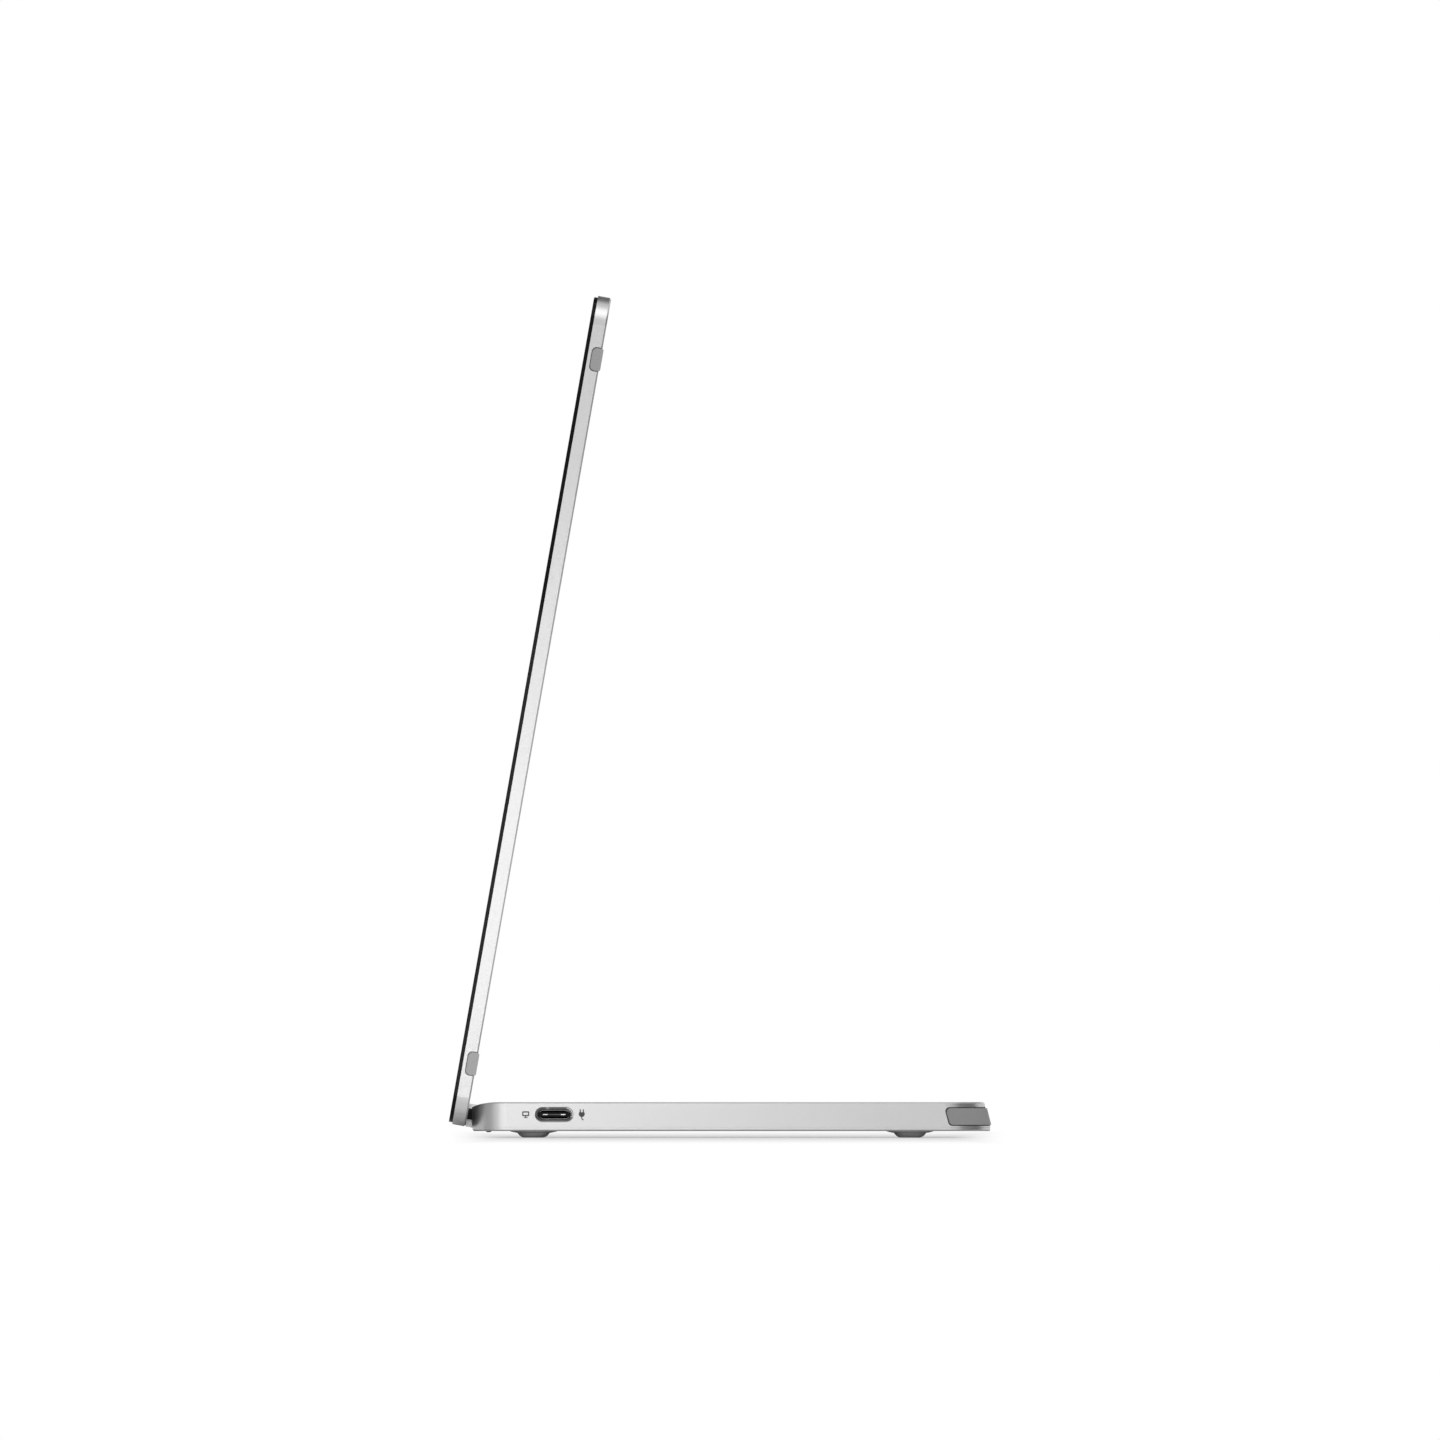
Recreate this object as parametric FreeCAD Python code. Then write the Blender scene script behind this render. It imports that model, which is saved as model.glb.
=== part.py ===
import FreeCAD, Part
import math
import os

os.makedirs("parts", exist_ok=True)

V = FreeCAD.Vector

# Display panel and the borders round it, in millimetres; they set the size of the whole
active_width = 309.9
active_height = 174.3
side_border = 6.55
top_border = 9.0
chin_height = 25.4
screen_lean = 10.0
folded_gap = 0.65

# Base shell and bottom plate
base_depth = 128.9
base_thickness = 7.2
rear_slant = 1.8
base_front_corner = 8.4
base_rear_corner = 10.0
nose_length = 7.5
nose_drop = 1.65
side_wall = 1.6
top_wall = 1.1
plate_thickness = 0.9
plate_gap = 0.15
edge_chamfer = 0.35

# Feet
foot_height = 1.6
foot_length = 26.0
foot_flange_width = 11.6
foot_body_width = 8.7
foot_sole_width = 6.3
foot_flange_rim = 0.08
foot_flange_flare = 0.34
foot_round = 2.0
foot_front_inset = 15.3
foot_rear_inset = 20.2
foot_side_inset = 15.5

# Pressed nubs under the front corners of the bottom plate
nub_height = 0.28
nub_radius = 0.75
nub_tip_radius = 0.45
nub_front_inset = 4.15
nub_side_inset = 9.5

# Rubber bumpers round the rear corners of the base
bumper_low = 1.55
bumper_height = 4.14
bumper_reach = 10.33
bumper_wrap = 22.0
bumper_end_slant = 1.2
bumper_end_round = 1.0
rubber_proud = 0.35
rubber_seat = 0.9
rubber_gap = 0.26
rubber_skirt = 0.15
skirt_gap = 0.02

# Screen shell and glass
screen_depth = 3.33
screen_corner = 7.1
screen_side_wall = 1.6
screen_back_wall = 0.8
back_chamfer = 0.38
glass_thickness = 0.94
glass_inset = 0.43
glass_chamfer = 0.15

# Rubber pads on the screen's side edges
pad_length = 5.58
pad_from_end = 15.62
pad_front_gap = 1.04
pad_round = 1.2
pad_back_reach = 5.0

# Display stack
cell_margin = 2.0
cell_ledge = 6.0
guide_margin = 0.6
reflector_thickness = 0.15
guide_thickness = 0.6
film_thickness = 0.3
cell_thickness = 1.2
panel_frame_margin = 1.0
panel_fit = 0.1
light_strip_height = 1.8
light_strip_board = 0.3
light_length = 3.0
light_pitch = 8.0

# Driver board in the chin of the screen
driver_to_leaf = 8.0
driver_height = 6.5
driver_thickness = 0.6
driver_to_cell = 1.0
flex_count = 6
flex_width = 14.0
flex_thickness = 0.1
flex_overlap = 3.0
flex_climb = 1.1
driver_part_height = 1.0
driver_socket_width = 9.0
driver_socket_height = 3.0
driver_chip_width = 11.0

# Hinge
hinge_setback = 3.46
hinge_rise = 3.2
hinge_bar_radius = 2.9
hinge_bar_wall = 0.9
hinge_bar_end = 1.2
hinge_bar_clearance = 0.55
horn_width = 57.5
arm_gap = 0.8
arm_length = 11.2
arm_low = -1.0
arm_thickness = 2.7
eye_radius = 2.3
pin_radius = 1.2
pin_bore_radius = 0.65
pin_head_radius = 1.9
pin_head = 0.6
pin_fit = 0.02
pin_running_clearance = 0.04
pin_wall_clearance = 0.35
pin_tail = 0.55
barrel_gap = 0.4
barrel_length = 13.0
barrel_plate_gap = 0.2
barrel_leaf_depth = 13.0
barrel_leaf_thickness = 1.2
hinge_relief_gap = 0.35
washer_count = 3
washer_thickness = 0.5
washer_step = 0.2
nut_step = 0.137
nut_length = 2.4
leaf_side_reach = 8.0
leaf_to_cell = 0.7
leaf_thickness = 0.9
leaf_seat = 0.6
leaf_slot_gap = 0.2
bar_land_length = 8.0
bar_land_pitch = 45.0
bar_screw_rise = 0.5

# Screws
small_shank_radius = 0.7
small_head_radius = 1.5
small_head = 0.5
plate_shank_radius = 0.9
plate_head_radius = 2.0
plate_head = 0.5
screw_clearance = 0.05
screw_skin = 0.3
boss_wall = 1.3
plate_screw_side = 11.5
plate_screw_front = 6.8
plate_screw_rear = 30.0
plate_screw_inner = 86.5
plate_screw_behind = 11.0
plate_screw_notch = 14.4
HEXAGON = 6

# Circuit boards
board_thickness = 0.8
board_side_gap = 4.0
main_board_gap = 3.0
side_board_width = 21.5
board_front_inset = 12.5
main_board_depth = 44.0
side_board_tail = 7.2
boss_edge = 4.0
shield_margin = 7.75
shield_depth = 20.0
shield_height = 2.0
shield_wall = 0.2
shield_inset = 7.0
chip_width = 12.0
chip_height = 0.9
power_chip_width = 5.0
board_connector_width = 12.0
board_connector_depth = 4.0
board_connector_height = 1.1
link_width = 9.0
link_thickness = 0.15
link_overlap = 5.0
link_inset = 30.0

# Data sockets
socket_inset = 20.4
socket_offset = 0.5
socket_opening_width = 8.34
socket_opening_height = 2.56
socket_shell_wall = 0.3
socket_length = 7.35
socket_recess = 0.6
socket_block = 2.2
socket_tongue_width = 6.69
socket_tongue_thickness = 0.7
socket_tongue_length = 4.45
socket_cutout_gap = 0.105
socket_chamfer = 0.23
contact_count = 12
contact_pitch = 0.5
contact_width = 0.25
contact_thickness = 0.05
contact_length = 3.4

# Keys on the left side
key_height = 2.4
key_gap = 0.3
key_proud = 0.3
key_flange = 0.9
key_flange_thickness = 0.9
key_wall_gap = 0.45
key_round = 1.1
power_key_inset = 45.0
power_key_length = 8.0
rocker_inset = 65.0
rocker_length = 14.0
rocker_lug = 2.6
rocker_pin_radius = 0.5
rocker_pin_setback = 1.3
switch_gap = 0.65
switch_plunger = 0.6
switch_plunger_radius = 0.6
switch_body = 2.6
switch_width = 3.6
switch_height = 2.6
rocker_switch_spread = 4.5

# Display cable
cable_radius = 0.5
cable_meeting_gap = 0.02
cable_out = 8.5
cable_side_step = 7.0
cable_run_in = 4.5
cable_bar_run = 14.0
cable_slot_length = 13.0
cable_slot_height = 3.4
cable_turn = 12.0
cable_climb = 3.4

# Places that follow from the sizes
width = active_width + 2 * side_border
screen_height = active_height + top_border + chin_height
half_width = width / 2
base_low = foot_height
base_top = base_low + base_thickness
seam = base_low + plate_thickness
ceiling = base_top - top_wall
axis_z = base_low + hinge_rise
back_t = -(base_top + folded_gap - axis_z)
inner_t = back_t - screen_back_wall
front_t = back_t - screen_depth
glass_t = front_t - glass_thickness
screen_low = -hinge_bar_radius
screen_high = screen_low + screen_height
lean = math.radians(screen_lean)
front_reach = -glass_t * math.cos(lean) - (screen_low + glass_inset) * math.sin(lean)
slope = rear_slant / base_thickness
rear_reach = base_depth - slope * bumper_low + rubber_proud - hinge_setback
axis_y = (front_reach - rear_reach) / 2
base_front = axis_y - hinge_setback
notch_back = axis_y + hinge_bar_radius + hinge_bar_clearance
notch_half = half_width - horn_width
barrel_radius = hinge_rise - plate_thickness - barrel_plate_gap
pin_start = notch_half - arm_gap - arm_length
barrel_start = notch_half + side_wall + barrel_gap
barrel_end = barrel_start + barrel_length
pin_end = barrel_end + washer_count * washer_thickness + nut_length + pin_tail
bar_half = pin_start - pin_head - barrel_gap
socket_y = base_front + socket_inset
socket_z = base_low + base_thickness / 2 + socket_offset
socket_shell_width = socket_opening_width + 2 * socket_shell_wall
socket_shell_height = socket_opening_height + 2 * socket_shell_wall
board_top = socket_z - socket_shell_height / 2
board_low = board_top - board_thickness
board_edge = half_width - board_side_gap
board_front = base_front + board_front_inset
main_board_width = board_edge - barrel_end - main_board_gap
last_switch = rocker_inset + rocker_switch_spread + switch_width / 2
side_board_depth = last_switch + side_board_tail - board_front_inset
link_y = board_front + link_inset
leaf_front = inner_t - leaf_seat - leaf_thickness
BEYOND = 5.0


# Shape helpers
def box(x0, x1, y0, y1, z0, z1):
    return Part.makeBox(x1 - x0, y1 - y0, z1 - z0, V(x0, y0, z0))


def rod(radius, x0, x1, y, z):
    return Part.makeCylinder(radius, x1 - x0, V(x0, y, z), V(1, 0, 0))


def corner_arc(before, corner, after, setback):
    """Start, middle and end of the arc that rounds a corner, setback along each side."""
    to_before = (before - corner).normalize()
    to_after = (after - corner).normalize()
    half_angle = to_before.getAngle(to_after) / 2
    radius = setback * math.tan(half_angle)
    middle = corner + (to_before + to_after).normalize() * (radius / math.sin(half_angle) - radius)
    return corner + to_before * setback, middle, corner + to_after * setback


def rounded_wire(points, radii):
    """Closed wire through the points, each corner rounded by its radius, 0 for a sharp one."""
    arcs = []
    for i, corner in enumerate(points):
        before = points[i - 1]
        after = points[(i + 1) % len(points)]
        half_angle = (before - corner).getAngle(after - corner) / 2
        setback = radii[i] / math.tan(half_angle)
        arcs.append(corner_arc(before, corner, after, setback))
    edges = []
    for i, (start, middle, end) in enumerate(arcs):
        if radii[i] > 0:
            edges.append(Part.Arc(start, middle, end).toShape())
        following = arcs[(i + 1) % len(arcs)][0]
        if end.distanceToPoint(following) > 1e-6:
            edges.append(Part.LineSegment(end, following).toShape())
    return Part.Wire(edges)


def prism(points, radii, along):
    return Part.Face(rounded_wire(points, radii)).extrude(along)


def slot_wire(x, y, z, length, height):
    """Round-ended slot outline in the plane of one X, long in Y."""
    dy = length / 2
    dz = height / 2
    points = [V(x, y - dy, z - dz), V(x, y + dy, z - dz), V(x, y + dy, z + dz), V(x, y - dy, z + dz)]
    return rounded_wire(points, [dz] * 4)


def slot_block(x0, x1, y, z, length, height):
    return Part.Face(slot_wire(x0, y, z, length, height)).extrude(V(x1 - x0, 0, 0))


def tube(points, radius):
    """Round cable: straight runs joined by arcs as large as the shorter run allows."""
    edges = []
    start = points[0]
    for i in range(1, len(points) - 1):
        before, corner, after = points[i - 1], points[i], points[i + 1]
        setback = 0.45 * min((corner - before).Length, (after - corner).Length)
        arc_start, middle, arc_end = corner_arc(before, corner, after, setback)
        edges.append(Part.LineSegment(start, arc_start).toShape())
        edges.append(Part.Arc(arc_start, middle, arc_end).toShape())
        start = arc_end
    edges.append(Part.LineSegment(start, points[-1]).toShape())
    path = Part.Wire(edges)
    section = Part.Wire(Part.makeCircle(radius, points[0], points[1] - points[0]))
    cable = path.makePipeShell([section], True, False)
    print("cable volume", cable.Volume, "section times length", math.pi * radius**2 * path.Length)
    return cable


hexagon_angles = [2 * math.pi * i / HEXAGON for i in range(HEXAGON)]


def screw(seat, inward, head_radius, head, shank_radius, shank):
    """Screw with a hexagon socket: seat is the middle of the face under its head."""
    body = Part.makeCylinder(head_radius, head, V(0, 0, 0))
    body = body.fuse(Part.makeCylinder(shank_radius, shank, V(0, 0, -shank)))
    key = shank_radius * 0.9
    corners = [V(key * math.cos(angle), key * math.sin(angle), head) for angle in hexagon_angles]
    body = body.cut(prism(corners, [0] * HEXAGON, V(0, 0, -0.6 * head))).removeSplitter()
    body.Placement = FreeCAD.Placement(seat, FreeCAD.Rotation(V(0, 0, -1), inward))
    return body


def mirrored(shape):
    return shape.mirror(V(0, 0, 0), V(1, 0, 0))


def on_screen(shape):
    """Moves a shape from the upright screen frame, with the hinge axis at its origin, to its place."""
    placed = shape.copy()
    placed.rotate(V(0, 0, 0), V(1, 0, 0), -screen_lean)
    placed.translate(V(0, axis_y, axis_z))
    return placed


def save(node, shape):
    solids = shape.Solids
    sound = shape.isValid() and all(solid.Volume > 0 for solid in solids)
    print(f"{node}: {len(solids)} solids, {shape.Volume:.1f} mm3, sound {sound}")
    shape.exportStep(f"parts/{node}.step")


def save_screen(node, shape):
    save(node, on_screen(shape))


def group(solids):
    return Part.makeCompound(solids)


# Base: one block that shell, cavity, plate, bumpers and pockets are all cut from
def base_rear(z):
    return base_front + base_depth - slope * (z - base_low)


def base_outline(inset, z):
    side = half_width - inset
    front = base_front + inset
    rear = base_rear(z) - inset
    points = [V(-side, front, z), V(side, front, z), V(side, rear, z), V(-side, rear, z)]
    front_corner = base_front_corner - inset
    rear_corner = base_rear_corner - inset
    return rounded_wire(points, [front_corner, front_corner, rear_corner, rear_corner])


def base_block(levels):
    """Block through outlines given as pairs of inset and height."""
    return Part.makeLoft([base_outline(inset, z) for inset, z in levels], True, True)


def nose_waste(inset):
    """What the long round of the top front edge takes away, for a surface set in by inset."""
    centre_y = base_front + nose_length
    centre_z = base_top - nose_drop
    tip = V(-half_width - BEYOND, centre_y - nose_length + inset, centre_z)
    crown = V(tip.x, centre_y, base_top - inset)
    far = V(tip.x, tip.y - BEYOND - inset, centre_z)
    roof = crown.z + BEYOND + inset
    ellipse = Part.Ellipse(tip, crown, V(tip.x, centre_y, centre_z))
    start = ellipse.parameter(tip)
    end = ellipse.parameter(crown)
    round_edge = Part.ArcOfEllipse(ellipse, min(start, end), max(start, end)).toShape()
    corners = [crown, V(tip.x, centre_y, roof), V(tip.x, far.y, roof), far, tip]
    edges = [round_edge]
    for first, second in zip(corners, corners[1:]):
        edges.append(Part.LineSegment(first, second).toShape())
    outline = Part.Wire(Part.__sortEdges__(edges))
    return Part.Face(outline).extrude(V(width + 2 * BEYOND, 0, 0))


def notch_block(grow):
    """Space that the hinge bar turns in, right through the front of the base."""
    side = notch_half + grow
    return box(-side, side, base_front - BEYOND, notch_back + grow, 0, base_top + BEYOND)


def bumper_window(grow):
    """Prism along X that bounds the right bumper seen from the side, rounded at its front end."""
    low = base_low + bumper_low - grow
    high = low + bumper_height + 2 * grow
    rear = base_front + base_depth + BEYOND
    front_high = base_rear(high) - bumper_reach + rubber_proud - grow
    front_low = front_high + bumper_end_slant
    x = half_width - bumper_wrap - grow
    points = [V(x, front_high, high), V(x, front_low, low), V(x, rear, low), V(x, rear, high)]
    return prism(points, [bumper_end_round, bumper_end_round, 0, 0], V(bumper_wrap + BEYOND, 0, 0))


def bumper_band(outset, seat, grow):
    low = base_low + bumper_low - grow
    high = low + bumper_height + 2 * grow
    ring = base_block([(-outset, low), (-outset, high)]).cut(base_block([(seat, low), (seat, high)]))
    return ring.common(bumper_window(grow))


plate_screw_x = half_width - plate_screw_side
plate_screw_inner_x = half_width - plate_screw_inner
plate_screw_back = base_front + base_depth - plate_screw_rear
plate_screw_places = [
    (side * x, y)
    for side in (-1, 1)
    for x, y in (
        (plate_screw_x, base_front + plate_screw_front),
        (plate_screw_x, plate_screw_back),
        (plate_screw_inner_x, plate_screw_back),
        (plate_screw_inner_x, notch_back + plate_screw_notch),
        (barrel_start + barrel_length / 2, axis_y + barrel_leaf_depth + plate_screw_behind),
    )
]


def board_places(width_of_board, depth_of_board):
    """Screw places of a right-hand board: both inner corners, the outer rear corner and the outer middle."""
    inner = board_edge - width_of_board + boss_edge
    outer = board_edge - boss_edge
    rear = board_front + depth_of_board - boss_edge
    middle = socket_y + socket_shell_width / 2 + boss_edge
    return [(inner, board_front + boss_edge), (inner, rear), (outer, rear), (outer, middle)]


main_board_places = board_places(main_board_width, main_board_depth)
side_board_places = [(-x, y) for x, y in board_places(side_board_width, side_board_depth)]

barrel_leaf_top = axis_z + barrel_radius
barrel_screw_y = axis_y + barrel_leaf_depth - boss_edge
barrel_screw_places = [
    (side * (barrel_start + barrel_length * share), barrel_screw_y)
    for side in (-1, 1)
    for share in (0.25, 0.75)
]


def boss(x, y, low, shank_radius):
    return Part.makeCylinder(shank_radius + boss_wall, ceiling - low + top_wall / 2, V(x, y, low))


def screw_hole(x, y, low, high, shank_radius):
    return Part.makeCylinder(shank_radius + screw_clearance, high - low, V(x, y, low))


def base_upper_shell():
    shell = base_block([(0, seam), (0, base_top - edge_chamfer), (edge_chamfer, base_top)])
    shell = shell.cut(nose_waste(0))
    cavity = base_block([(side_wall, seam - BEYOND), (side_wall, ceiling)])
    cavity = cavity.cut(nose_waste(top_wall)).cut(notch_block(side_wall))
    shell = shell.cut(cavity).cut(notch_block(0))
    board_holes = main_board_places + side_board_places
    bosses = [boss(x, y, seam, plate_shank_radius) for x, y in plate_screw_places]
    bosses += [boss(x, y, board_top, small_shank_radius) for x, y in board_holes]
    bosses += [boss(x, y, barrel_leaf_top, small_shank_radius) for x, y in barrel_screw_places]
    bosses.append(boss(-rocker_pin_x, rocker_y, key_z + key_height / 2 + key_gap, rocker_pin_radius))
    shell = shell.fuse(bosses)
    holes = [screw_hole(x, y, seam, ceiling, plate_shank_radius) for x, y in plate_screw_places]
    holes += [screw_hole(x, y, board_top, ceiling, small_shank_radius) for x, y in board_holes]
    deep = base_top - screw_skin
    holes += [screw_hole(x, y, barrel_leaf_top, deep, small_shank_radius) for x, y in barrel_screw_places]
    holes.append(screw_hole(-rocker_pin_x, rocker_y, rocker_pin_low, rocker_pin_top, rocker_pin_radius))
    for side in (-1, 1):
        for start, end, radius in (
            (notch_half - BEYOND, barrel_start, pin_radius + pin_wall_clearance),
            (notch_half + side_wall, pin_end + BEYOND, barrel_radius + hinge_relief_gap),
        ):
            low_x = min(side * start, side * end)
            holes.append(rod(radius, low_x, low_x + end - start, axis_y, axis_z))
    right_openings = [bumper_band(BEYOND, rubber_seat, rubber_gap), socket_cutout()]
    holes += right_openings
    holes += [mirrored(opening) for opening in right_openings]
    holes.append(key_opening(power_key_y, power_key_length))
    holes.append(key_opening(rocker_y, rocker_length))
    return shell.cut(holes).removeSplitter()


def base_bottom_plate():
    bevel = plate_gap + edge_chamfer
    levels = [(bevel, base_low), (plate_gap, base_low + edge_chamfer), (plate_gap, seam)]
    plate = base_block(levels).cut(notch_block(plate_gap))
    holes = []
    for x, y in plate_screw_places:
        place = V(x, y, base_low)
        holes.append(Part.makeCylinder(plate_shank_radius + screw_clearance, plate_thickness, place))
        holes.append(Part.makeCylinder(plate_head_radius + screw_clearance, plate_head, place))
    nubs = []
    for x in (-half_width + nub_side_inset, half_width - nub_side_inset):
        place = V(x, base_front + nub_front_inset, base_low - nub_height)
        nubs.append(Part.makeCone(nub_tip_radius, nub_radius, nub_height, place))
    return plate.cut(holes).fuse(nubs).removeSplitter()


def foot(x, y):
    """Stadium foot, long in X: a flange that flares out to the plate over a tapered body with a round sole."""
    def stadium(foot_width, z):
        dx = (foot_length - foot_flange_width + foot_width) / 2
        dy = foot_width / 2
        points = [V(x - dx, y - dy, z), V(x + dx, y - dy, z), V(x + dx, y + dy, z), V(x - dx, y + dy, z)]
        return rounded_wire(points, [dy] * 4)
    body = Part.makeLoft([stadium(foot_sole_width, 0), stadium(foot_body_width, foot_height)], True, True)
    rim = [edge for edge in body.Edges if edge.BoundBox.ZMax < foot_round / 2]
    body = body.makeFillet(foot_round, rim)
    flare_top = foot_height - foot_flange_rim
    levels = [(foot_body_width, flare_top - foot_flange_flare), (foot_flange_width, flare_top),
              (foot_flange_width, foot_height)]
    flange = Part.makeLoft([stadium(*level) for level in levels], True, True)
    return body.fuse(flange).removeSplitter()


def save_feet():
    foot_x = half_width - foot_side_inset
    front = base_front + foot_front_inset
    rear = base_front + base_depth - foot_rear_inset
    for row, y in (("front", front), ("rear", rear)):
        save(f"foot_{row}_left", foot(-foot_x, y))
        save(f"foot_{row}_right", foot(foot_x, y))


def corner_bumper():
    """Band round the rear corner, with a thin skirt at its foot that covers the floor of its pocket."""
    above_skirt = bumper_band(BEYOND, rubber_seat - rubber_skirt, rubber_gap)
    moat = above_skirt.cut(bumper_window(0))
    return bumper_band(rubber_proud, rubber_seat, rubber_gap - skirt_gap).cut(moat).removeSplitter()


def save_bumpers():
    bumper = corner_bumper()
    save("bumper_rear_right", bumper)
    save("bumper_rear_left", mirrored(bumper))


# Data socket in the side wall, standing on the board behind it
socket_face = half_width - socket_recess


def socket_cutout():
    inner = 2 * socket_cutout_gap
    outer = inner + 2 * socket_chamfer
    wall_start = half_width - side_wall - BEYOND / 2
    hole = slot_block(wall_start, half_width + BEYOND, socket_y, socket_z,
                      socket_shell_width + inner, socket_shell_height + inner)
    rims = []
    for x, grow in ((half_width - socket_chamfer, inner), (half_width, outer), (half_width + 1, outer)):
        rims.append(slot_wire(x, socket_y, socket_z, socket_shell_width + grow, socket_shell_height + grow))
    return hole.fuse(Part.makeLoft(rims, True, True))


def socket_shell():
    back = socket_face - socket_length
    shell = slot_block(back, socket_face, socket_y, socket_z, socket_shell_width, socket_shell_height)
    inside = slot_block(back - 1, socket_face + 1, socket_y, socket_z,
                        socket_opening_width, socket_opening_height)
    return shell.cut(inside)


def socket_tongue():
    back = socket_face - socket_length
    block = slot_block(back, back + socket_block, socket_y, socket_z,
                       socket_opening_width - 2 * pin_fit, socket_opening_height - 2 * pin_fit)
    dy = socket_tongue_width / 2
    dz = socket_tongue_thickness / 2
    tongue = box(back, back + socket_block + socket_tongue_length, socket_y - dy, socket_y + dy,
                 socket_z - dz, socket_z + dz)
    return block.fuse(tongue).removeSplitter()


def socket_contacts():
    start = socket_face - socket_length + socket_block
    dz = socket_tongue_thickness / 2
    strips = []
    for i in range(contact_count):
        y = socket_y + (i - (contact_count - 1) / 2) * contact_pitch - contact_width / 2
        for low in (socket_z + dz, socket_z - dz - contact_thickness):
            strips.append(box(start, start + contact_length, y, y + contact_width,
                              low, low + contact_thickness))
    return group(strips)


def save_sockets():
    socket_parts = {"shell": socket_shell(), "tongue": socket_tongue(), "contacts": socket_contacts()}
    for node, shape in socket_parts.items():
        save(f"data_socket_{node}_right", shape)
        save(f"data_socket_{node}_left", mirrored(shape))


# Keys in the left side wall; the shapes are made on the right and mirrored
key_z = board_top + key_gap + key_height / 2
key_back = half_width - side_wall - key_wall_gap
power_key_y = base_front + power_key_inset
rocker_y = base_front + rocker_inset
rocker_pin_x = half_width - side_wall - rocker_pin_setback
rocker_pin_low = key_z - key_height / 2
rocker_pin_top = ceiling + top_wall / 2


def key_block(x0, x1, y, length, grow):
    dy = length / 2 + grow
    dz = key_height / 2 + grow
    points = [V(x0, y - dy, key_z - dz), V(x0, y + dy, key_z - dz),
              V(x0, y + dy, key_z + dz), V(x0, y - dy, key_z + dz)]
    return prism(points, [key_round + grow] * 4, V(x1 - x0, 0, 0))


def key_opening(y, length):
    return mirrored(key_block(half_width - side_wall - BEYOND / 10, half_width + BEYOND, y, length, key_gap))


def key(y, length):
    cap = key_block(key_back - key_flange_thickness, half_width + key_proud, y, length, 0)
    dy = length / 2 + key_flange
    dz = key_height / 2
    flange = box(key_back - key_flange_thickness, key_back, y - dy, y + dy, key_z - dz, key_z + dz)
    return cap.fuse(flange).removeSplitter()


def rocker():
    body = key(rocker_y, rocker_length)
    dy = rocker_lug / 2
    dz = key_height / 2
    lug = box(rocker_pin_x - dy, key_back, rocker_y - dy, rocker_y + dy, key_z - dz, key_z + dz)
    bore = Part.makeCylinder(rocker_pin_radius + pin_running_clearance, 2 * key_height,
                             V(rocker_pin_x, rocker_y, key_z - key_height))
    return body.fuse(lug).cut(bore).removeSplitter()


def rocker_pin():
    return Part.makeCylinder(rocker_pin_radius, rocker_pin_top - rocker_pin_low,
                             V(rocker_pin_x, rocker_y, rocker_pin_low))


def tact_switches():
    tip = key_back - key_flange_thickness - switch_gap
    front = tip - switch_plunger
    switches = []
    for y in (power_key_y, rocker_y - rocker_switch_spread, rocker_y + rocker_switch_spread):
        body = box(front - switch_body, front, y - switch_width / 2, y + switch_width / 2,
                   board_top, board_top + switch_height)
        switches.append(body.fuse(rod(switch_plunger_radius, front, tip, y, key_z)))
    return mirrored(group(switches))


# Circuit boards, hung from bosses under the shell
def board(board_width, board_depth, places):
    plate = box(board_edge - board_width, board_edge, board_front, board_front + board_depth,
                board_low, board_top)
    hole_radius = small_shank_radius + screw_clearance
    return plate.cut([Part.makeCylinder(hole_radius, board_thickness, V(x, y, board_low)) for x, y in places])


main_board_x = board_edge - main_board_width / 2
shield_y = board_front + main_board_depth - shield_inset - shield_depth / 2
connector_x = pin_end + cable_out + cable_side_step
connector_y = board_front + plate_gap


def flat_part(x, y, part_width, part_depth, part_height):
    return box(x - part_width / 2, x + part_width / 2, y - part_depth / 2, y + part_depth / 2,
               board_top, board_top + part_height)


def main_board_chips():
    parts = [flat_part(main_board_x, shield_y, chip_width, chip_width, chip_height)]
    for shift in (-1, 1):
        parts.append(flat_part(main_board_x + shift * 1.5 * power_chip_width, socket_y + power_chip_width / 2,
                               power_chip_width, power_chip_width, chip_height))
    parts.append(flat_part(connector_x, connector_y + board_connector_depth / 2,
                           board_connector_width, board_connector_depth, board_connector_height))
    return group(parts)


def board_shield():
    shield_width = main_board_width - 2 * shield_margin
    can = flat_part(main_board_x, shield_y, shield_width, shield_depth, shield_height)
    return can.cut(flat_part(main_board_x, shield_y, shield_width - 2 * shield_wall,
                             shield_depth - 2 * shield_wall, shield_height - shield_wall))


def board_link_cable():
    right = board_edge - main_board_width + link_overlap
    left = -(board_edge - side_board_width + link_overlap)
    return box(left, right, link_y - link_width / 2, link_y + link_width / 2,
               board_top, board_top + link_thickness)


def display_cable_base():
    entry_z = board_top + board_connector_height / 2
    start = V(pin_end + cable_meeting_gap, axis_y, axis_z)
    turn = V(pin_end + cable_out, axis_y, axis_z)
    lead_in = V(connector_x, connector_y - cable_run_in, entry_z)
    return tube([start, turn, lead_in, V(connector_x, connector_y, entry_z)], cable_radius)


def base_screws(places, seat, head_radius, head, shank_radius, shank):
    up = V(0, 0, 1)
    return group([screw(V(x, y, seat), up, head_radius, head, shank_radius, shank) for x, y in places])


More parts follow.
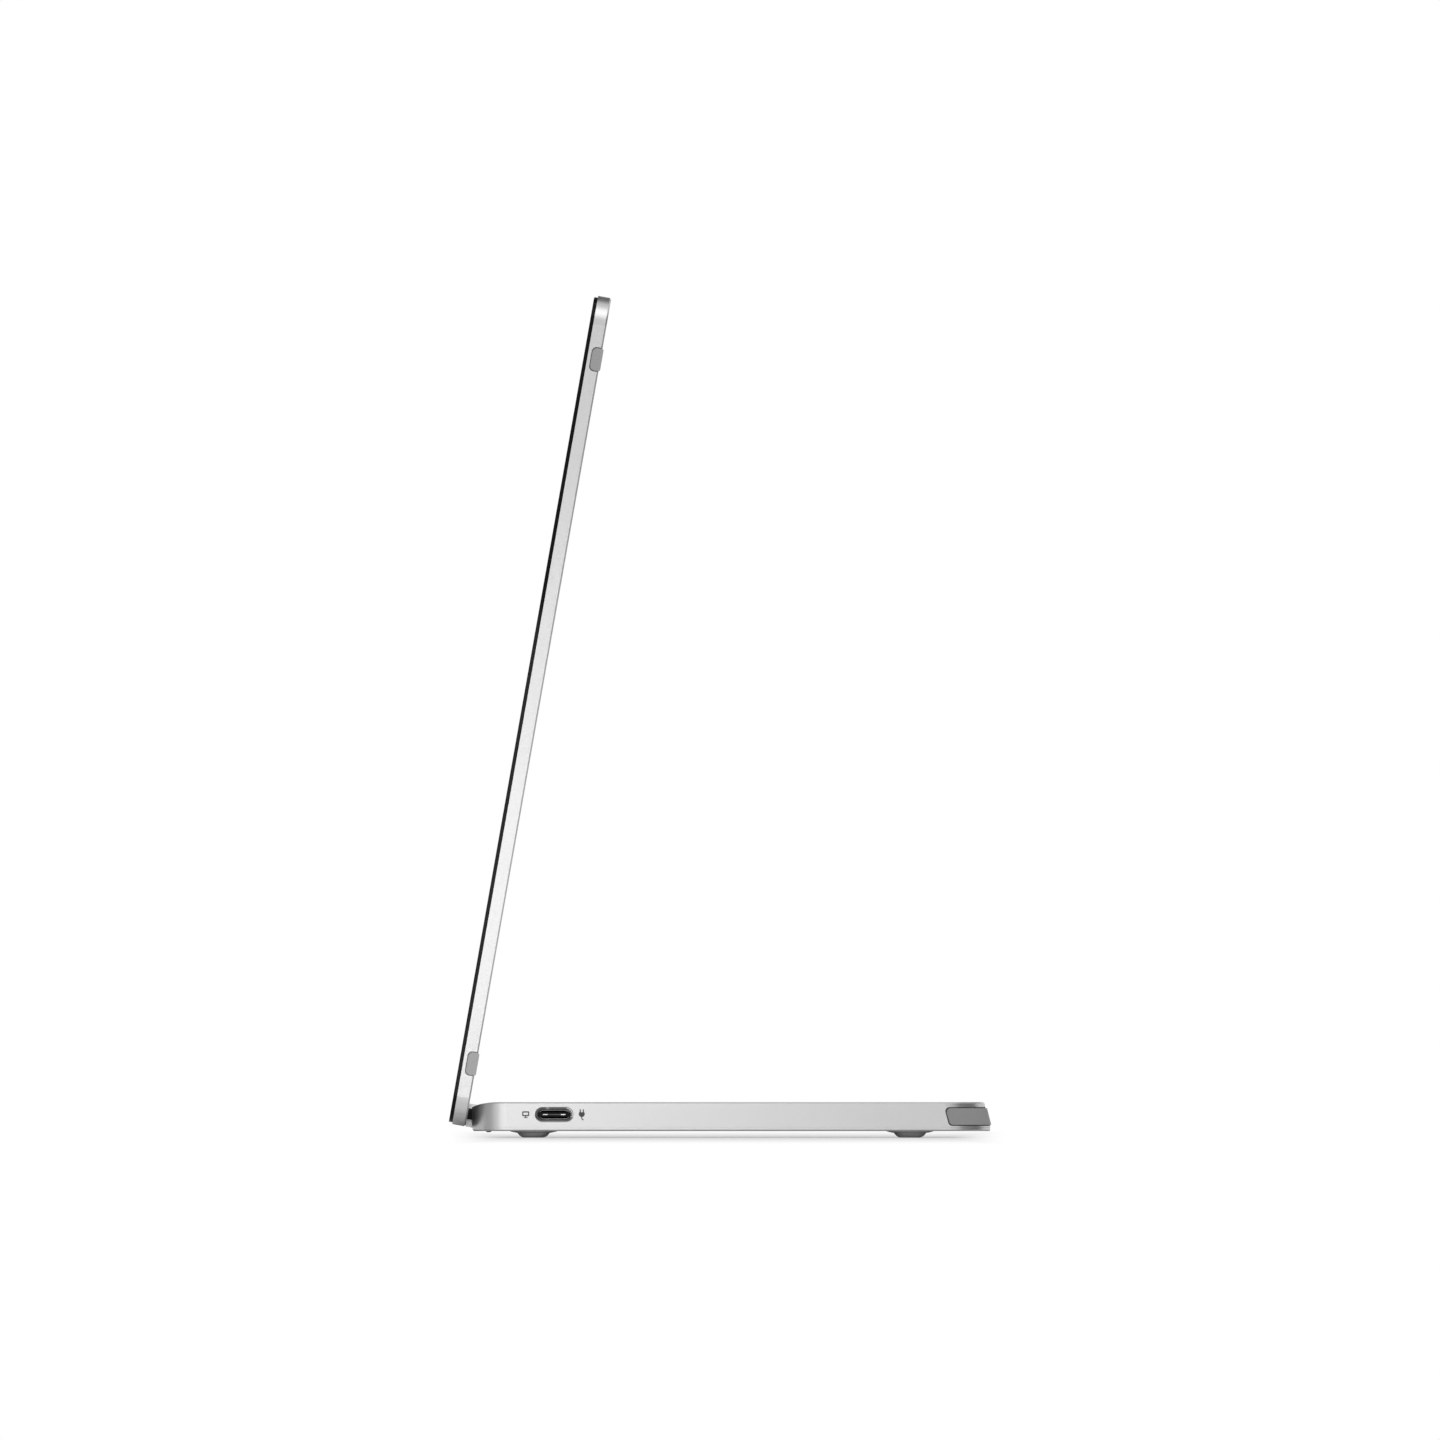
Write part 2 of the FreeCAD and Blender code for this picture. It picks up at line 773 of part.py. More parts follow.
def save_base():
    save("base_upper_shell", base_upper_shell())
    save("base_bottom_plate", base_bottom_plate())
    save_feet()
    save_bumpers()
    save_sockets()
    save("power_button", mirrored(key(power_key_y, power_key_length)))
    save("brightness_rocker", mirrored(rocker()))
    save("rocker_pin", mirrored(rocker_pin()))
    save("tact_switches", tact_switches())
    save("main_board", board(main_board_width, main_board_depth, main_board_places))
    right_places = [(-x, y) for x, y in side_board_places]
    save("side_board", mirrored(board(side_board_width, side_board_depth, right_places)))
    save("main_board_chips", main_board_chips())
    save("board_shield", board_shield())
    save("board_link_cable", board_link_cable())
    save("display_cable_base", display_cable_base())
    plate_shank = plate_thickness - plate_head + (ceiling - seam) / 2
    save("bottom_screws", base_screws(plate_screw_places, base_low + plate_head, plate_head_radius,
                                      plate_head, plate_shank_radius, plate_shank))
    board_shank = board_thickness + (ceiling - board_top) / 2
    save("board_screws", base_screws(main_board_places + side_board_places, board_low, small_head_radius,
                                     small_head, small_shank_radius, board_shank))
    barrel_shank = base_top - screw_skin - screw_clearance - barrel_leaf_top + barrel_leaf_thickness
    save("hinge_screws_base", base_screws(barrel_screw_places, barrel_leaf_top - barrel_leaf_thickness,
                                          small_head_radius, small_head, small_shank_radius, barrel_shank))


# Hinge: the barrel stays with the base, the leaf, pin, washers and nut turn with the screen
def hinge_barrel():
    barrel = rod(barrel_radius, barrel_start, barrel_end, axis_y, axis_z)
    leaf = box(barrel_start, barrel_end, axis_y, axis_y + barrel_leaf_depth,
               barrel_leaf_top - barrel_leaf_thickness, barrel_leaf_top)
    barrel = barrel.fuse(leaf)
    holes = [rod(pin_radius + pin_running_clearance, barrel_start, barrel_end, axis_y, axis_z)]
    for x, y in barrel_screw_places:
        holes.append(screw_hole(x, y, base_low, base_top, small_shank_radius))
    return barrel.cut(holes).removeSplitter()


active_high = screen_high - top_border
active_low = active_high - active_height
cell_low = active_low - cell_ledge
leaf_left = pin_start - leaf_side_reach
leaf_right = pin_start + arm_length + leaf_side_reach
leaf_top = cell_low - leaf_to_cell
arm_top = arm_low + arm_thickness
leaf_screw_places = [
    (x, s)
    for x in (leaf_left + boss_edge, leaf_right - boss_edge)
    for s in (arm_top + boss_edge, leaf_top - boss_edge)
]


def hinge_leaf():
    """Bent steel leaf: screwed plate inside the chin, arm through the back wall, eye round the pin."""
    pin_outer = pin_start + arm_length
    plate = box(leaf_left, leaf_right, leaf_front, leaf_front + leaf_thickness, arm_low, leaf_top)
    arm = box(pin_start, pin_outer, leaf_front, 0, arm_low, arm_top)
    leaf = plate.fuse([arm, rod(eye_radius, pin_start, pin_outer, 0, 0)])
    holes = [rod(pin_radius + pin_fit, pin_start, pin_outer, 0, 0)]
    for x, s in leaf_screw_places:
        holes.append(leaf_hole(x, s, leaf_front, leaf_thickness))
    return leaf.cut(holes).removeSplitter()


def leaf_hole(x, s, start, depth):
    return Part.makeCylinder(small_shank_radius + screw_clearance, depth, V(x, start, s), V(0, 1, 0))


def hinge_pin(bore_radius):
    pin = rod(pin_radius, pin_start, pin_end, 0, 0)
    pin = pin.fuse(rod(pin_head_radius, pin_start - pin_head, pin_start, 0, 0)).removeSplitter()
    if bore_radius > 0:
        pin = pin.cut(rod(bore_radius, pin_start - pin_head, pin_end, 0, 0))
    return pin


washer_start = barrel_end + pin_running_clearance
washer_radius = barrel_radius - washer_step


def hinge_washers():
    washers = []
    for i in range(washer_count):
        start = washer_start + i * washer_thickness
        disc = rod(washer_radius, start, start + washer_thickness, 0, 0)
        washers.append(disc.cut(rod(pin_radius + pin_fit, start, start + washer_thickness, 0, 0)))
    return group(washers)


def hinge_nut():
    start = washer_start + washer_count * washer_thickness
    reach = barrel_radius - nut_step
    corners = [V(start, reach * math.cos(angle), reach * math.sin(angle)) for angle in hexagon_angles]
    nut = prism(corners, [0] * HEXAGON, V(nut_length, 0, 0))
    return nut.cut(rod(pin_radius + pin_fit, start, start + nut_length, 0, 0))


bar_screw_places = [(i * bar_land_pitch, bar_screw_rise) for i in (-1, 0, 1)]


def bar_section(radius, half_length):
    bar = box(-half_length, half_length, back_t, 0, -radius, radius)
    return bar.fuse(rod(radius, -half_length, half_length, 0, 0)).removeSplitter()


def hinge_cover():
    """Hollow bar on the back of the screen, round about the hinge axis and open towards the screen."""
    bar = bar_section(hinge_bar_radius, bar_half)
    inner_radius = hinge_bar_radius - hinge_bar_wall
    bar = bar.cut(bar_section(inner_radius, bar_half - hinge_bar_end))
    lands = []
    holes = [rod(pin_bore_radius + rubber_gap, -bar_half, bar_half, 0, 0)]
    for x, s in bar_screw_places:
        lands.append(box(x - bar_land_length / 2, x + bar_land_length / 2, back_t, -hinge_bar_wall,
                         -inner_radius, inner_radius))
        holes.append(leaf_hole(x, s, back_t, -back_t - hinge_bar_wall))
    return bar.fuse(lands).cut(holes).removeSplitter()


def save_hinges():
    barrel = hinge_barrel()
    save("hinge_barrel_right", barrel)
    save("hinge_barrel_left", mirrored(barrel))
    for node, shape in (("leaf", hinge_leaf()), ("washers", hinge_washers()), ("nut", hinge_nut())):
        save_screen(f"hinge_{node}_right", shape)
        save_screen(f"hinge_{node}_left", mirrored(shape))
    save_screen("hinge_pin_right", hinge_pin(pin_bore_radius))
    save_screen("hinge_pin_left", mirrored(hinge_pin(0)))
    save_screen("hinge_cover", hinge_cover())
    back = V(0, 1, 0)
    leaf_shank = back_t - screw_skin - screw_clearance - leaf_front
    leaf_screws = [
        screw(V(side * x, leaf_front, s), back, small_head_radius, small_head, small_shank_radius, leaf_shank)
        for side in (-1, 1)
        for x, s in leaf_screw_places
    ]
    save_screen("hinge_screws_screen", group(leaf_screws))
    bar_shank = screen_back_wall - back_t - hinge_bar_wall - screw_skin
    bar_screws = [
        screw(V(x, inner_t, s), back, small_head_radius, small_head, small_shank_radius, bar_shank)
        for x, s in bar_screw_places
    ]
    save_screen("hinge_cover_screws", group(bar_screws))


# Screen shell
def screen_outline(inset, t):
    side = half_width - inset
    low = screen_low + inset
    high = screen_high - inset
    points = [V(-side, t, low), V(side, t, low), V(side, t, high), V(-side, t, high)]
    return rounded_wire(points, [screen_corner - inset] * 4)


def screen_block(levels):
    """Slab through outlines given as pairs of inset and depth behind the hinge axis."""
    return Part.makeLoft([screen_outline(inset, t) for inset, t in levels], True, True)


def pad_window(x0, x1, middle, grow):
    """Prism along X with the outline of one edge pad seen from the side."""
    front = front_t + pad_front_gap - grow
    back = back_t + rubber_proud + grow
    half = pad_length / 2 + grow
    points = [V(x0, front, middle - half), V(x0, back, middle - half),
              V(x0, back, middle + half), V(x0, front, middle + half)]
    return prism(points, [pad_round, back_chamfer, back_chamfer, pad_round], V(x1 - x0, 0, 0))


def edge_pad(middle):
    """Pad that reaches round to the back, with a thin skirt that covers the floor of its pocket."""
    start = half_width - pad_back_reach
    seat = half_width - rubber_seat
    pad = pad_window(start, half_width + rubber_proud, middle, 0)
    pad = pad.cut(box(start, seat, front_t, back_t, screen_low, screen_high))
    skirt = pad_window(seat, seat + rubber_skirt, middle, rubber_gap - skirt_gap)
    skirt = skirt.common(box(seat, seat + rubber_skirt, front_t, back_t, screen_low, screen_high))
    return pad.fuse(skirt).removeSplitter()


pad_middles = {"lower": screen_low + pad_from_end, "upper": screen_high - pad_from_end}
cable_t = inner_t - driver_thickness - driver_part_height / 2
cable_bend_x = bar_half - cable_bar_run
cable_slot_x = cable_bend_x - cable_turn * (back_t + inner_t) / (2 * cable_t)


def screen_back_cover():
    cover = screen_block([(back_chamfer, back_t), (0, back_t - back_chamfer), (0, front_t)])
    cover = cover.cut(screen_block([(screen_side_wall, inner_t), (screen_side_wall, front_t - BEYOND)]))
    seats = []
    holes = []
    for side in (-1, 1):
        seat = box(leaf_left, leaf_right, inner_t - leaf_seat, inner_t, arm_top + leaf_slot_gap, leaf_top)
        slot = box(pin_start - leaf_slot_gap, pin_start + arm_length + leaf_slot_gap, inner_t - leaf_seat,
                   back_t + BEYOND, arm_low - leaf_slot_gap, arm_top + leaf_slot_gap)
        openings = [slot]
        openings += [leaf_hole(x, s, inner_t - leaf_seat, leaf_seat + screen_back_wall - screw_skin)
                     for x, s in leaf_screw_places]
        openings += [pad_window(half_width - rubber_seat, half_width + BEYOND, middle, rubber_gap)
                     for middle in pad_middles.values()]
        seats.append(seat if side > 0 else mirrored(seat))
        holes += openings if side > 0 else [mirrored(opening) for opening in openings]
    holes += [leaf_hole(x, s, inner_t, screen_back_wall) for x, s in bar_screw_places]
    holes.append(box(cable_slot_x - cable_slot_length / 2, cable_slot_x + cable_slot_length / 2, inner_t,
                     back_t, -cable_slot_height / 2, cable_slot_height / 2))
    return cover.fuse(seats).cut(holes).removeSplitter()


def front_glass():
    return screen_block([(glass_inset, front_t), (glass_inset, glass_t + glass_chamfer),
                         (glass_inset + glass_chamfer, glass_t)])


def save_pads():
    for row, middle in pad_middles.items():
        pad = edge_pad(middle)
        save_screen(f"edge_pad_{row}_right", pad)
        save_screen(f"edge_pad_{row}_left", mirrored(pad))


# Display stack inside the tray, from the back wall forward
guide_half = active_width / 2 + guide_margin
guide_low = active_low - guide_margin
guide_high = active_high + guide_margin
cell_half = active_width / 2 + cell_margin
cell_high = active_high + cell_margin
reflector_t = inner_t - reflector_thickness
guide_t = reflector_t - guide_thickness
film_t = guide_t - film_thickness
cell_t = film_t - cell_thickness
strip_high = guide_low - panel_fit
strip_low = strip_high - light_strip_height


def sheet(half, low, high, front, back):
    return box(-half, half, front, back, low, high)


def panel_frame():
    outer = sheet(cell_half + panel_frame_margin, cell_low, cell_high + panel_frame_margin, film_t, inner_t)
    window = sheet(guide_half + panel_fit, strip_low - panel_fit, guide_high + panel_fit, film_t, inner_t)
    return outer.cut(window)


def light_strip():
    board_t = inner_t - light_strip_board
    parts = [sheet(guide_half, strip_low, strip_high, board_t, inner_t)]
    count = int((2 * guide_half - light_length) / light_pitch)
    for i in range(count):
        x = (i - (count - 1) / 2) * light_pitch
        parts.append(box(x - light_length / 2, x + light_length / 2, guide_t, board_t, strip_low, strip_high))
    return group(parts)


driver_high = cell_low - driver_to_cell
driver_low = driver_high - driver_height
driver_half = leaf_left - driver_to_leaf
driver_t = inner_t - driver_thickness
driver_socket_x = cable_bend_x - cable_turn - cable_side_step
driver_socket_low = driver_low + panel_fit


def driver_board_parts():
    front = driver_t - driver_part_height
    parts = [box(driver_socket_x - driver_socket_width / 2, driver_socket_x + driver_socket_width / 2,
                 front, driver_t, driver_socket_low, driver_socket_low + driver_socket_height)]
    for x in (-driver_socket_x, 0):
        parts.append(box(x - driver_chip_width / 2, x + driver_chip_width / 2, front, driver_t,
                         driver_socket_low, driver_socket_low + driver_socket_height))
    return group(parts)


def driver_flexes():
    low = driver_high - flex_overlap
    tip = driver_t - flex_climb
    face = driver_t - flex_thickness
    strips = []
    for i in range(flex_count):
        x = (i - (flex_count - 1) / 2) * 2 * driver_half / flex_count - flex_width / 2
        under = cell_low - flex_thickness
        points = [V(x, driver_t, low), V(x, driver_t, cell_low), V(x, tip, cell_low),
                  V(x, tip, under), V(x, face, under), V(x, face, low)]
        strips.append(prism(points, [0] * len(points), V(flex_width, 0, 0)))
    return group(strips)


def display_cable_screen():
    through_wall = V(cable_bend_x - cable_turn, cable_t, cable_radius)
    below_socket = V(driver_socket_x, cable_t, cable_radius + cable_climb)
    points = [V(pin_end, 0, 0), V(cable_bend_x, 0, 0), through_wall, below_socket,
              V(driver_socket_x, cable_t, driver_socket_low)]
    return tube(points, cable_radius)


def save_screen_parts():
    save_screen("screen_back_cover", screen_back_cover())
    save_screen("front_glass", front_glass())
    save_pads()
    save_screen("reflector_sheet", sheet(guide_half, guide_low, guide_high, reflector_t, inner_t))
    save_screen("light_guide_plate", sheet(guide_half, guide_low, guide_high, guide_t, reflector_t))
    save_screen("film_stack", sheet(guide_half, guide_low, guide_high, film_t, guide_t))
    save_screen("lcd_cell", sheet(cell_half, cell_low, cell_high, cell_t, film_t))
    save_screen("glass_adhesive", sheet(cell_half, cell_low, cell_high, front_t, cell_t))
    save_screen("panel_frame", panel_frame())
    save_screen("light_strip", light_strip())
    save_screen("driver_board", sheet(driver_half, driver_low, driver_high, driver_t, inner_t))
    save_screen("driver_board_parts", driver_board_parts())
    save_screen("driver_flexes", driver_flexes())
    save_screen("display_cable_screen", display_cable_screen())


save_base()
save_hinges()
save_screen_parts()
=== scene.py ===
# %% [markdown]
# # A portable monitor with a folding base
#
# The object is a thin screen that leans on a flat metal base and folds down on it. The imported CAD model
# already has every shape at its real size: shell, glass, rubber, hinges, boards. This lesson adds what CAD
# leaves out: the finishes, the small printed signs, the light and the camera. The model is loaded first.

# %% Load the frame
import math

import bpy
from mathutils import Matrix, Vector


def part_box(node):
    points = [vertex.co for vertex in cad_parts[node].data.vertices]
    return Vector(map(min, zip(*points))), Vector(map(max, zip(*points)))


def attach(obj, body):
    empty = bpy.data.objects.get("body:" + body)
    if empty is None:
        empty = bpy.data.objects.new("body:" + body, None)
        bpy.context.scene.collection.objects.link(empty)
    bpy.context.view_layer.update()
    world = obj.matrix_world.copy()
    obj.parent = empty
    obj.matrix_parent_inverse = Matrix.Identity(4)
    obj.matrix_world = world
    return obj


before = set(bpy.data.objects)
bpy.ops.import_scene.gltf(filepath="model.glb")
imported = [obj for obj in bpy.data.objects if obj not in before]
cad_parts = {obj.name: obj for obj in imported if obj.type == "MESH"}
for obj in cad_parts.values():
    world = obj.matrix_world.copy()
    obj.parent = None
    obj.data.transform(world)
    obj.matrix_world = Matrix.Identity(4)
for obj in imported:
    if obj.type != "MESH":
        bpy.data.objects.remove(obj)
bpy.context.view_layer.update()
bpy.ops.object.select_all(action="DESELECT")
MM = 0.001

# %% [markdown]
# ## The camera
#
# The picture shows the monitor exactly from its right side with no visible perspective, as from far away
# through a long lens. A long lens could be set up with a camera many metres off, but an orthographic
# camera is the same thing with one number: the width of the view, 357 mm here. It stands on the +X side
# and looks along -X, so the glass edge is on the left and the base runs to the right.

# %% Place the camera
VIEW_WIDTH = 357.3 * MM
VIEW_HEIGHT = 103.6 * MM
VIEW_FROM = 2.0
QUARTER = math.pi / 2

bpy.ops.object.camera_add(location=(VIEW_FROM, 0, VIEW_HEIGHT), rotation=(QUARTER, 0, QUARTER))
camera = bpy.context.object
camera.name = "side_camera"
camera.data.type = "ORTHO"
camera.data.ortho_scale = VIEW_WIDTH
bpy.context.scene.camera = camera
print("camera sees", round(VIEW_WIDTH / MM, 1), "mm across")

# %% [markdown]
# ## The floor
#
# A floor seen from exactly its own height is only a line, and then it can show no shadow. The table under
# this monitor is therefore flat where the feet stand, dips a little just in front of the object and rises a
# little just behind it. Two millimetres are enough to let a thin band of contact shadow appear under
# the base. It is made from one plane, cut into strips by bisect, whose outer strips are then moved. A
# tilted camera would show a shadow too, but it would also show the top of the base.

# %% Shape the floor
FLOOR_HALF = 1.6
FLAT_HALF = 0.1595
DIP_WIDTH = 0.050
RISE_WIDTH = 0.045
DIP_DEPTH = 0.0019
RISE_HEIGHT = 0.0018

bpy.ops.mesh.primitive_plane_add(size=2 * FLOOR_HALF, location=(0, 0, 0))
floor = bpy.context.object
floor.name = "floor"
bpy.ops.object.mode_set(mode="EDIT")
for edge_x in (-FLAT_HALF - RISE_WIDTH, -FLAT_HALF, FLAT_HALF, FLAT_HALF + DIP_WIDTH):
    bpy.ops.mesh.select_all(action="SELECT")
    bpy.ops.mesh.bisect(plane_co=(edge_x, 0, 0), plane_no=(1, 0, 0))
bpy.ops.object.mode_set(mode="OBJECT")
for corner in floor.data.vertices:
    if corner.co.x > FLAT_HALF + DIP_WIDTH / 2:
        corner.co.z = -DIP_DEPTH
    if corner.co.x < -FLAT_HALF - RISE_WIDTH / 2:
        corner.co.z = RISE_HEIGHT
print("floor strips", len(floor.data.polygons))

# %% [markdown]
# ## Node helpers
#
# Every finish below is a small node tree with the same skeleton: object coordinates, one or two noise
# textures, a spread of colour, a spread of roughness and a fine relief. Writing the skeleton once keeps the
# cells short. Object coordinates are in metres and belong to the piece, so a grain keeps its true size on
# every piece and moves with it when a joint turns.

# %% Helpers for finishes
def new_finish(name):
    """An empty node material and its Principled shader."""
    material = bpy.data.materials.new(name)
    material.use_nodes = True
    return material, material.node_tree.nodes["Principled BSDF"]


def node(material, kind, links=None, **values):
    """Adds a node, sets its plain properties or input values, and links its inputs."""
    tree = material.node_tree
    made = tree.nodes.new(kind)
    for key, value in values.items():
        if hasattr(made, key):
            setattr(made, key, value)
        else:
            made.inputs[key.replace("_", " ").title()].default_value = value
    for key, source in (links or {}).items():
        tree.links.new(source, made.inputs[key])
    return made


def place(material, stretch=(1, 1, 1), turn=(0, 0, 0), shift=(0, 0, 0)):
    """Object coordinates, stretched, turned or shifted for patterns with a direction or a middle."""
    seat = node(material, "ShaderNodeTexCoord")
    mapped = node(material, "ShaderNodeMapping", {"Vector": seat.outputs["Object"]},
                  scale=stretch, rotation=turn)
    mapped.inputs["Location"].default_value = shift
    return mapped.outputs["Vector"]


def grain(material, where, scale, detail=3.0, roughness=0.5):
    return node(material, "ShaderNodeTexNoise", {"Vector": where},
                scale=scale, detail=detail, roughness=roughness).outputs["Fac"]


def spread(material, value, low, high, start=0.3, end=0.7):
    """Maps the middle of a noise onto the range from low to high."""
    return node(material, "ShaderNodeMapRange", {"Value": value},
                from_min=start, from_max=end, to_min=low, to_max=high).outputs["Result"]


def shade(material, value, dark, light, start=0.3, end=0.7):
    """A colour that goes from dark to light with a noise."""
    ramp = node(material, "ShaderNodeValToRGB", {"Fac": value})
    ramp.color_ramp.elements[0].position = start
    ramp.color_ramp.elements[0].color = (*dark, 1)
    ramp.color_ramp.elements[1].position = end
    ramp.color_ramp.elements[1].color = (*light, 1)
    return ramp.outputs["Color"]


def reckon(material, operation, *values):
    """The result of a Math node that is fed with links and plain numbers."""
    made = node(material, "ShaderNodeMath", operation=operation)
    for i, value in enumerate(values):
        if isinstance(value, float):
            made.inputs[i].default_value = value
        else:
            material.node_tree.links.new(value, made.inputs[i])
    return made.outputs[0]


def relief(material, shader, height, depth):
    """Raises the surface by a height map; depth is its real height in metres."""
    bump = node(material, "ShaderNodeBump", {"Height": height}, strength=1.0, distance=depth)
    material.node_tree.links.new(bump.outputs["Normal"], shader.inputs["Normal"])


def wire(material, shader, **sources):
    """Links outputs to the shader's sockets, named with underscores."""
    for key, source in sources.items():
        material.node_tree.links.new(source, shader.inputs[key.replace("_", " ").title()])


print("helpers ready")

# %% [markdown]
# ## White table, white room
#
# The photographer's room is white, and away from the object the floor fades to the same white, so the
# picture has no horizon. That could be done with stronger lamps, but those would bleach the metal. A white
# that is shown only to rays from the camera and to mirrored and refracted rays leaves the light on the
# object alone. Both the floor and the room need to know these rays, so one function finds them.

# %% Rays that see the white
def picture_rays(tree):
    """Two sockets: 1 for rays from the camera, and 1 for mirrored and refracted rays."""
    path = tree.nodes.new("ShaderNodeLightPath")
    mirrored = tree.nodes.new("ShaderNodeMath")
    mirrored.operation = "MAXIMUM"
    tree.links.new(path.outputs["Is Glossy Ray"], mirrored.inputs[0])
    tree.links.new(path.outputs["Is Transmission Ray"], mirrored.inputs[1])
    return path.outputs["Is Camera Ray"], mirrored.outputs[0]


print("white is shown to camera, mirrored and refracted rays")

# %% [markdown]
# ## Floor paint
#
# The floor is a pale matt paint with a fine speckle, and it catches the object's shadow. By distance from
# the object the paint turns into the white of the room: soon past the sides, and along the base in a
# lens-shaped outline, because a soft shadow is widest in its middle. Mirrored rays get an outline of their
# own, which keeps the white of the table close to the metal. A mask painted by hand would need a file.

# %% Paint the floor
# Fades beside the object are a start and an end, fades along it a start and a width, all in metres.
NEAR_WHITE = 0.25
BESIDE_FADE = (0.160, 0.205)
MIRRORED_FADE = (0.162, 0.168)
END_FADE = (0.053, 0.017)
MIDDLE_FADE = (0.075, 0.110)
MIRRORED_END_FADE = (0.069, 0.011)
SHADOW_MIDDLE = 0.0018

paint, paint_shader = new_finish("floor_paint")
speckle = grain(paint, place(paint), 900.0)
wire(paint, paint_shader,
     base_color=shade(paint, speckle, (0.77, 0.77, 0.77), (0.81, 0.81, 0.81)),
     roughness=spread(paint, speckle, 0.75, 0.9))
relief(paint, paint_shader, speckle, 0.00002)
paint_shader.inputs["Specular IOR Level"].default_value = 0.1


def fade(value, start, end):
    """Soft step from 0 to 1."""
    return node(paint, "ShaderNodeMapRange", {"Value": value}, interpolation_type="SMOOTHSTEP",
                from_min=start, from_max=end).outputs["Result"]


def fade_along(ends, middle):
    """Soft step along Y whose start and width change from the middle of the object to its ends."""
    begin, width = (spread(paint, near_end, middle[i], ends[i], 0.0, 1.0) for i in (0, 1))
    return fade(reckon(paint, "DIVIDE", reckon(paint, "SUBTRACT", along, begin), width), 0.0, 1.0)


axes = node(paint, "ShaderNodeSeparateXYZ", {0: place(paint, shift=(0, -SHADOW_MIDDLE, 0))})
across, along = (reckon(paint, "ABSOLUTE", axes.outputs[axis]) for axis in ("X", "Y"))
reach = spread(paint, across, 0.0, 1.0, 0.0, BESIDE_FADE[0])
near_end = reckon(paint, "MULTIPLY", reach, reckon(paint, "MULTIPLY", reach, reach))
away = reckon(paint, "MAXIMUM", fade(across, *BESIDE_FADE), fade_along(END_FADE, MIDDLE_FADE))
camera_white = spread(paint, away, NEAR_WHITE, 1.0, 0.0, 1.0)
mirrored_white = reckon(paint, "MAXIMUM", fade(across, *MIRRORED_FADE),
                        fade_along(MIRRORED_END_FADE, MIDDLE_FADE))
from_camera, mirrored = picture_rays(paint.node_tree)
seen = reckon(paint, "ADD", reckon(paint, "MULTIPLY", camera_white, from_camera),
              reckon(paint, "MULTIPLY", mirrored_white, mirrored))
white = node(paint, "ShaderNodeEmission", strength=1.0)
mixed = node(paint, "ShaderNodeMixShader", {0: seen, 1: paint_shader.outputs[0], 2: white.outputs[0]})
paint.node_tree.links.new(mixed.outputs[0], paint.node_tree.nodes["Material Output"].inputs["Surface"])
floor.data.materials.append(paint)
print("shadow fades out between", BESIDE_FADE, "m beside the object")

# %% [markdown]
# ## Light of the room
#
# White walls and a white ceiling throw even light from everywhere. A real set would have walls around the
# table; a world with one plain colour gives the same light and no corners. What the camera and the metal
# see of it is pure white, and the light that falls on the object is a little weaker, so that dark rubber
# stays dark.

# %% Light the room
FILL_LIGHT = 0.8

room = bpy.data.worlds.new("white_room")
bpy.context.scene.world = room
room.use_nodes = True
air = room.node_tree
air.nodes.clear()
fill = air.nodes.new("ShaderNodeBackground")
fill.inputs["Strength"].default_value = FILL_LIGHT
shown = air.nodes.new("ShaderNodeBackground")
shown.inputs["Strength"].default_value = 1.0
for light in (fill, shown):
    light.inputs["Color"].default_value = (1, 1, 1, 1)
choose = air.nodes.new("ShaderNodeMixShader")
either = air.nodes.new("ShaderNodeMath")
either.operation = "MAXIMUM"
for i, rays in enumerate(picture_rays(air)):
    air.links.new(rays, either.inputs[i])
air.links.new(either.outputs[0], choose.inputs[0])
air.links.new(fill.outputs[0], choose.inputs[1])
air.links.new(shown.outputs[0], choose.inputs[2])
sky = air.nodes.new("ShaderNodeOutputWorld")
air.links.new(choose.outputs[0], sky.inputs["Surface"])
bpy.context.scene.view_settings.view_transform = "Standard"
print("room fill", FILL_LIGHT)

# %% [markdown]
# ## Lamps and cards
#
# Bare metal looks like what stands around it. Two soft boxes are hung: one high above the camera, which
# draws the bright spot on the rounded top corner of the screen, and a small low one, which makes the foot
# of the screen the brightest place. Dark cards stand left and right of the camera and hang high behind
# the object, as in any studio that shoots silver things on white: the rounded corners and edges pick them
# up as dark lines and so keep their outline. Only mirrored rays see the cards, so they cast no shadow.

# %% Hang the lamps and stand the cards
def facing(at, look):
    """Rotation that turns the local Z axis of a thing at one place away from another place."""
    away = [a - b for a, b in zip(at, look)]
    return math.atan2(math.hypot(away[0], away[1]), away[2]), 0, math.atan2(away[1], away[0]) + QUARTER


def soft_box(name, at, look, size, power):
    bpy.ops.object.light_add(type="AREA", location=at, rotation=facing(at, look))
    lamp = bpy.context.object
    lamp.name = name
    lamp.data.shape = "RECTANGLE"
    lamp.data.size, lamp.data.size_y = size
    lamp.data.energy = power
    lamp.visible_camera = False


def dark_card(name, at, look, size):
    bpy.ops.mesh.primitive_plane_add(size=1, location=at, rotation=facing(at, look))
    card = bpy.context.object
    card.name = name
    card.scale = (*size, 1)
    bpy.ops.object.transform_apply(location=True, rotation=True, scale=True)
    card.data.materials.append(flock)
    card.visible_camera = False
    card.visible_diffuse = False
    card.visible_shadow = False


flock, flock_shader = new_finish("dark_flock")
fibres = grain(flock, place(flock), 700.0, 4.0)
wire(flock, flock_shader,
     base_color=shade(flock, fibres, (0.16, 0.16, 0.16), (0.20, 0.20, 0.20)),
     roughness=spread(flock, fibres, 0.9, 1.0))
flock_shader.inputs["Specular IOR Level"].default_value = 0.0

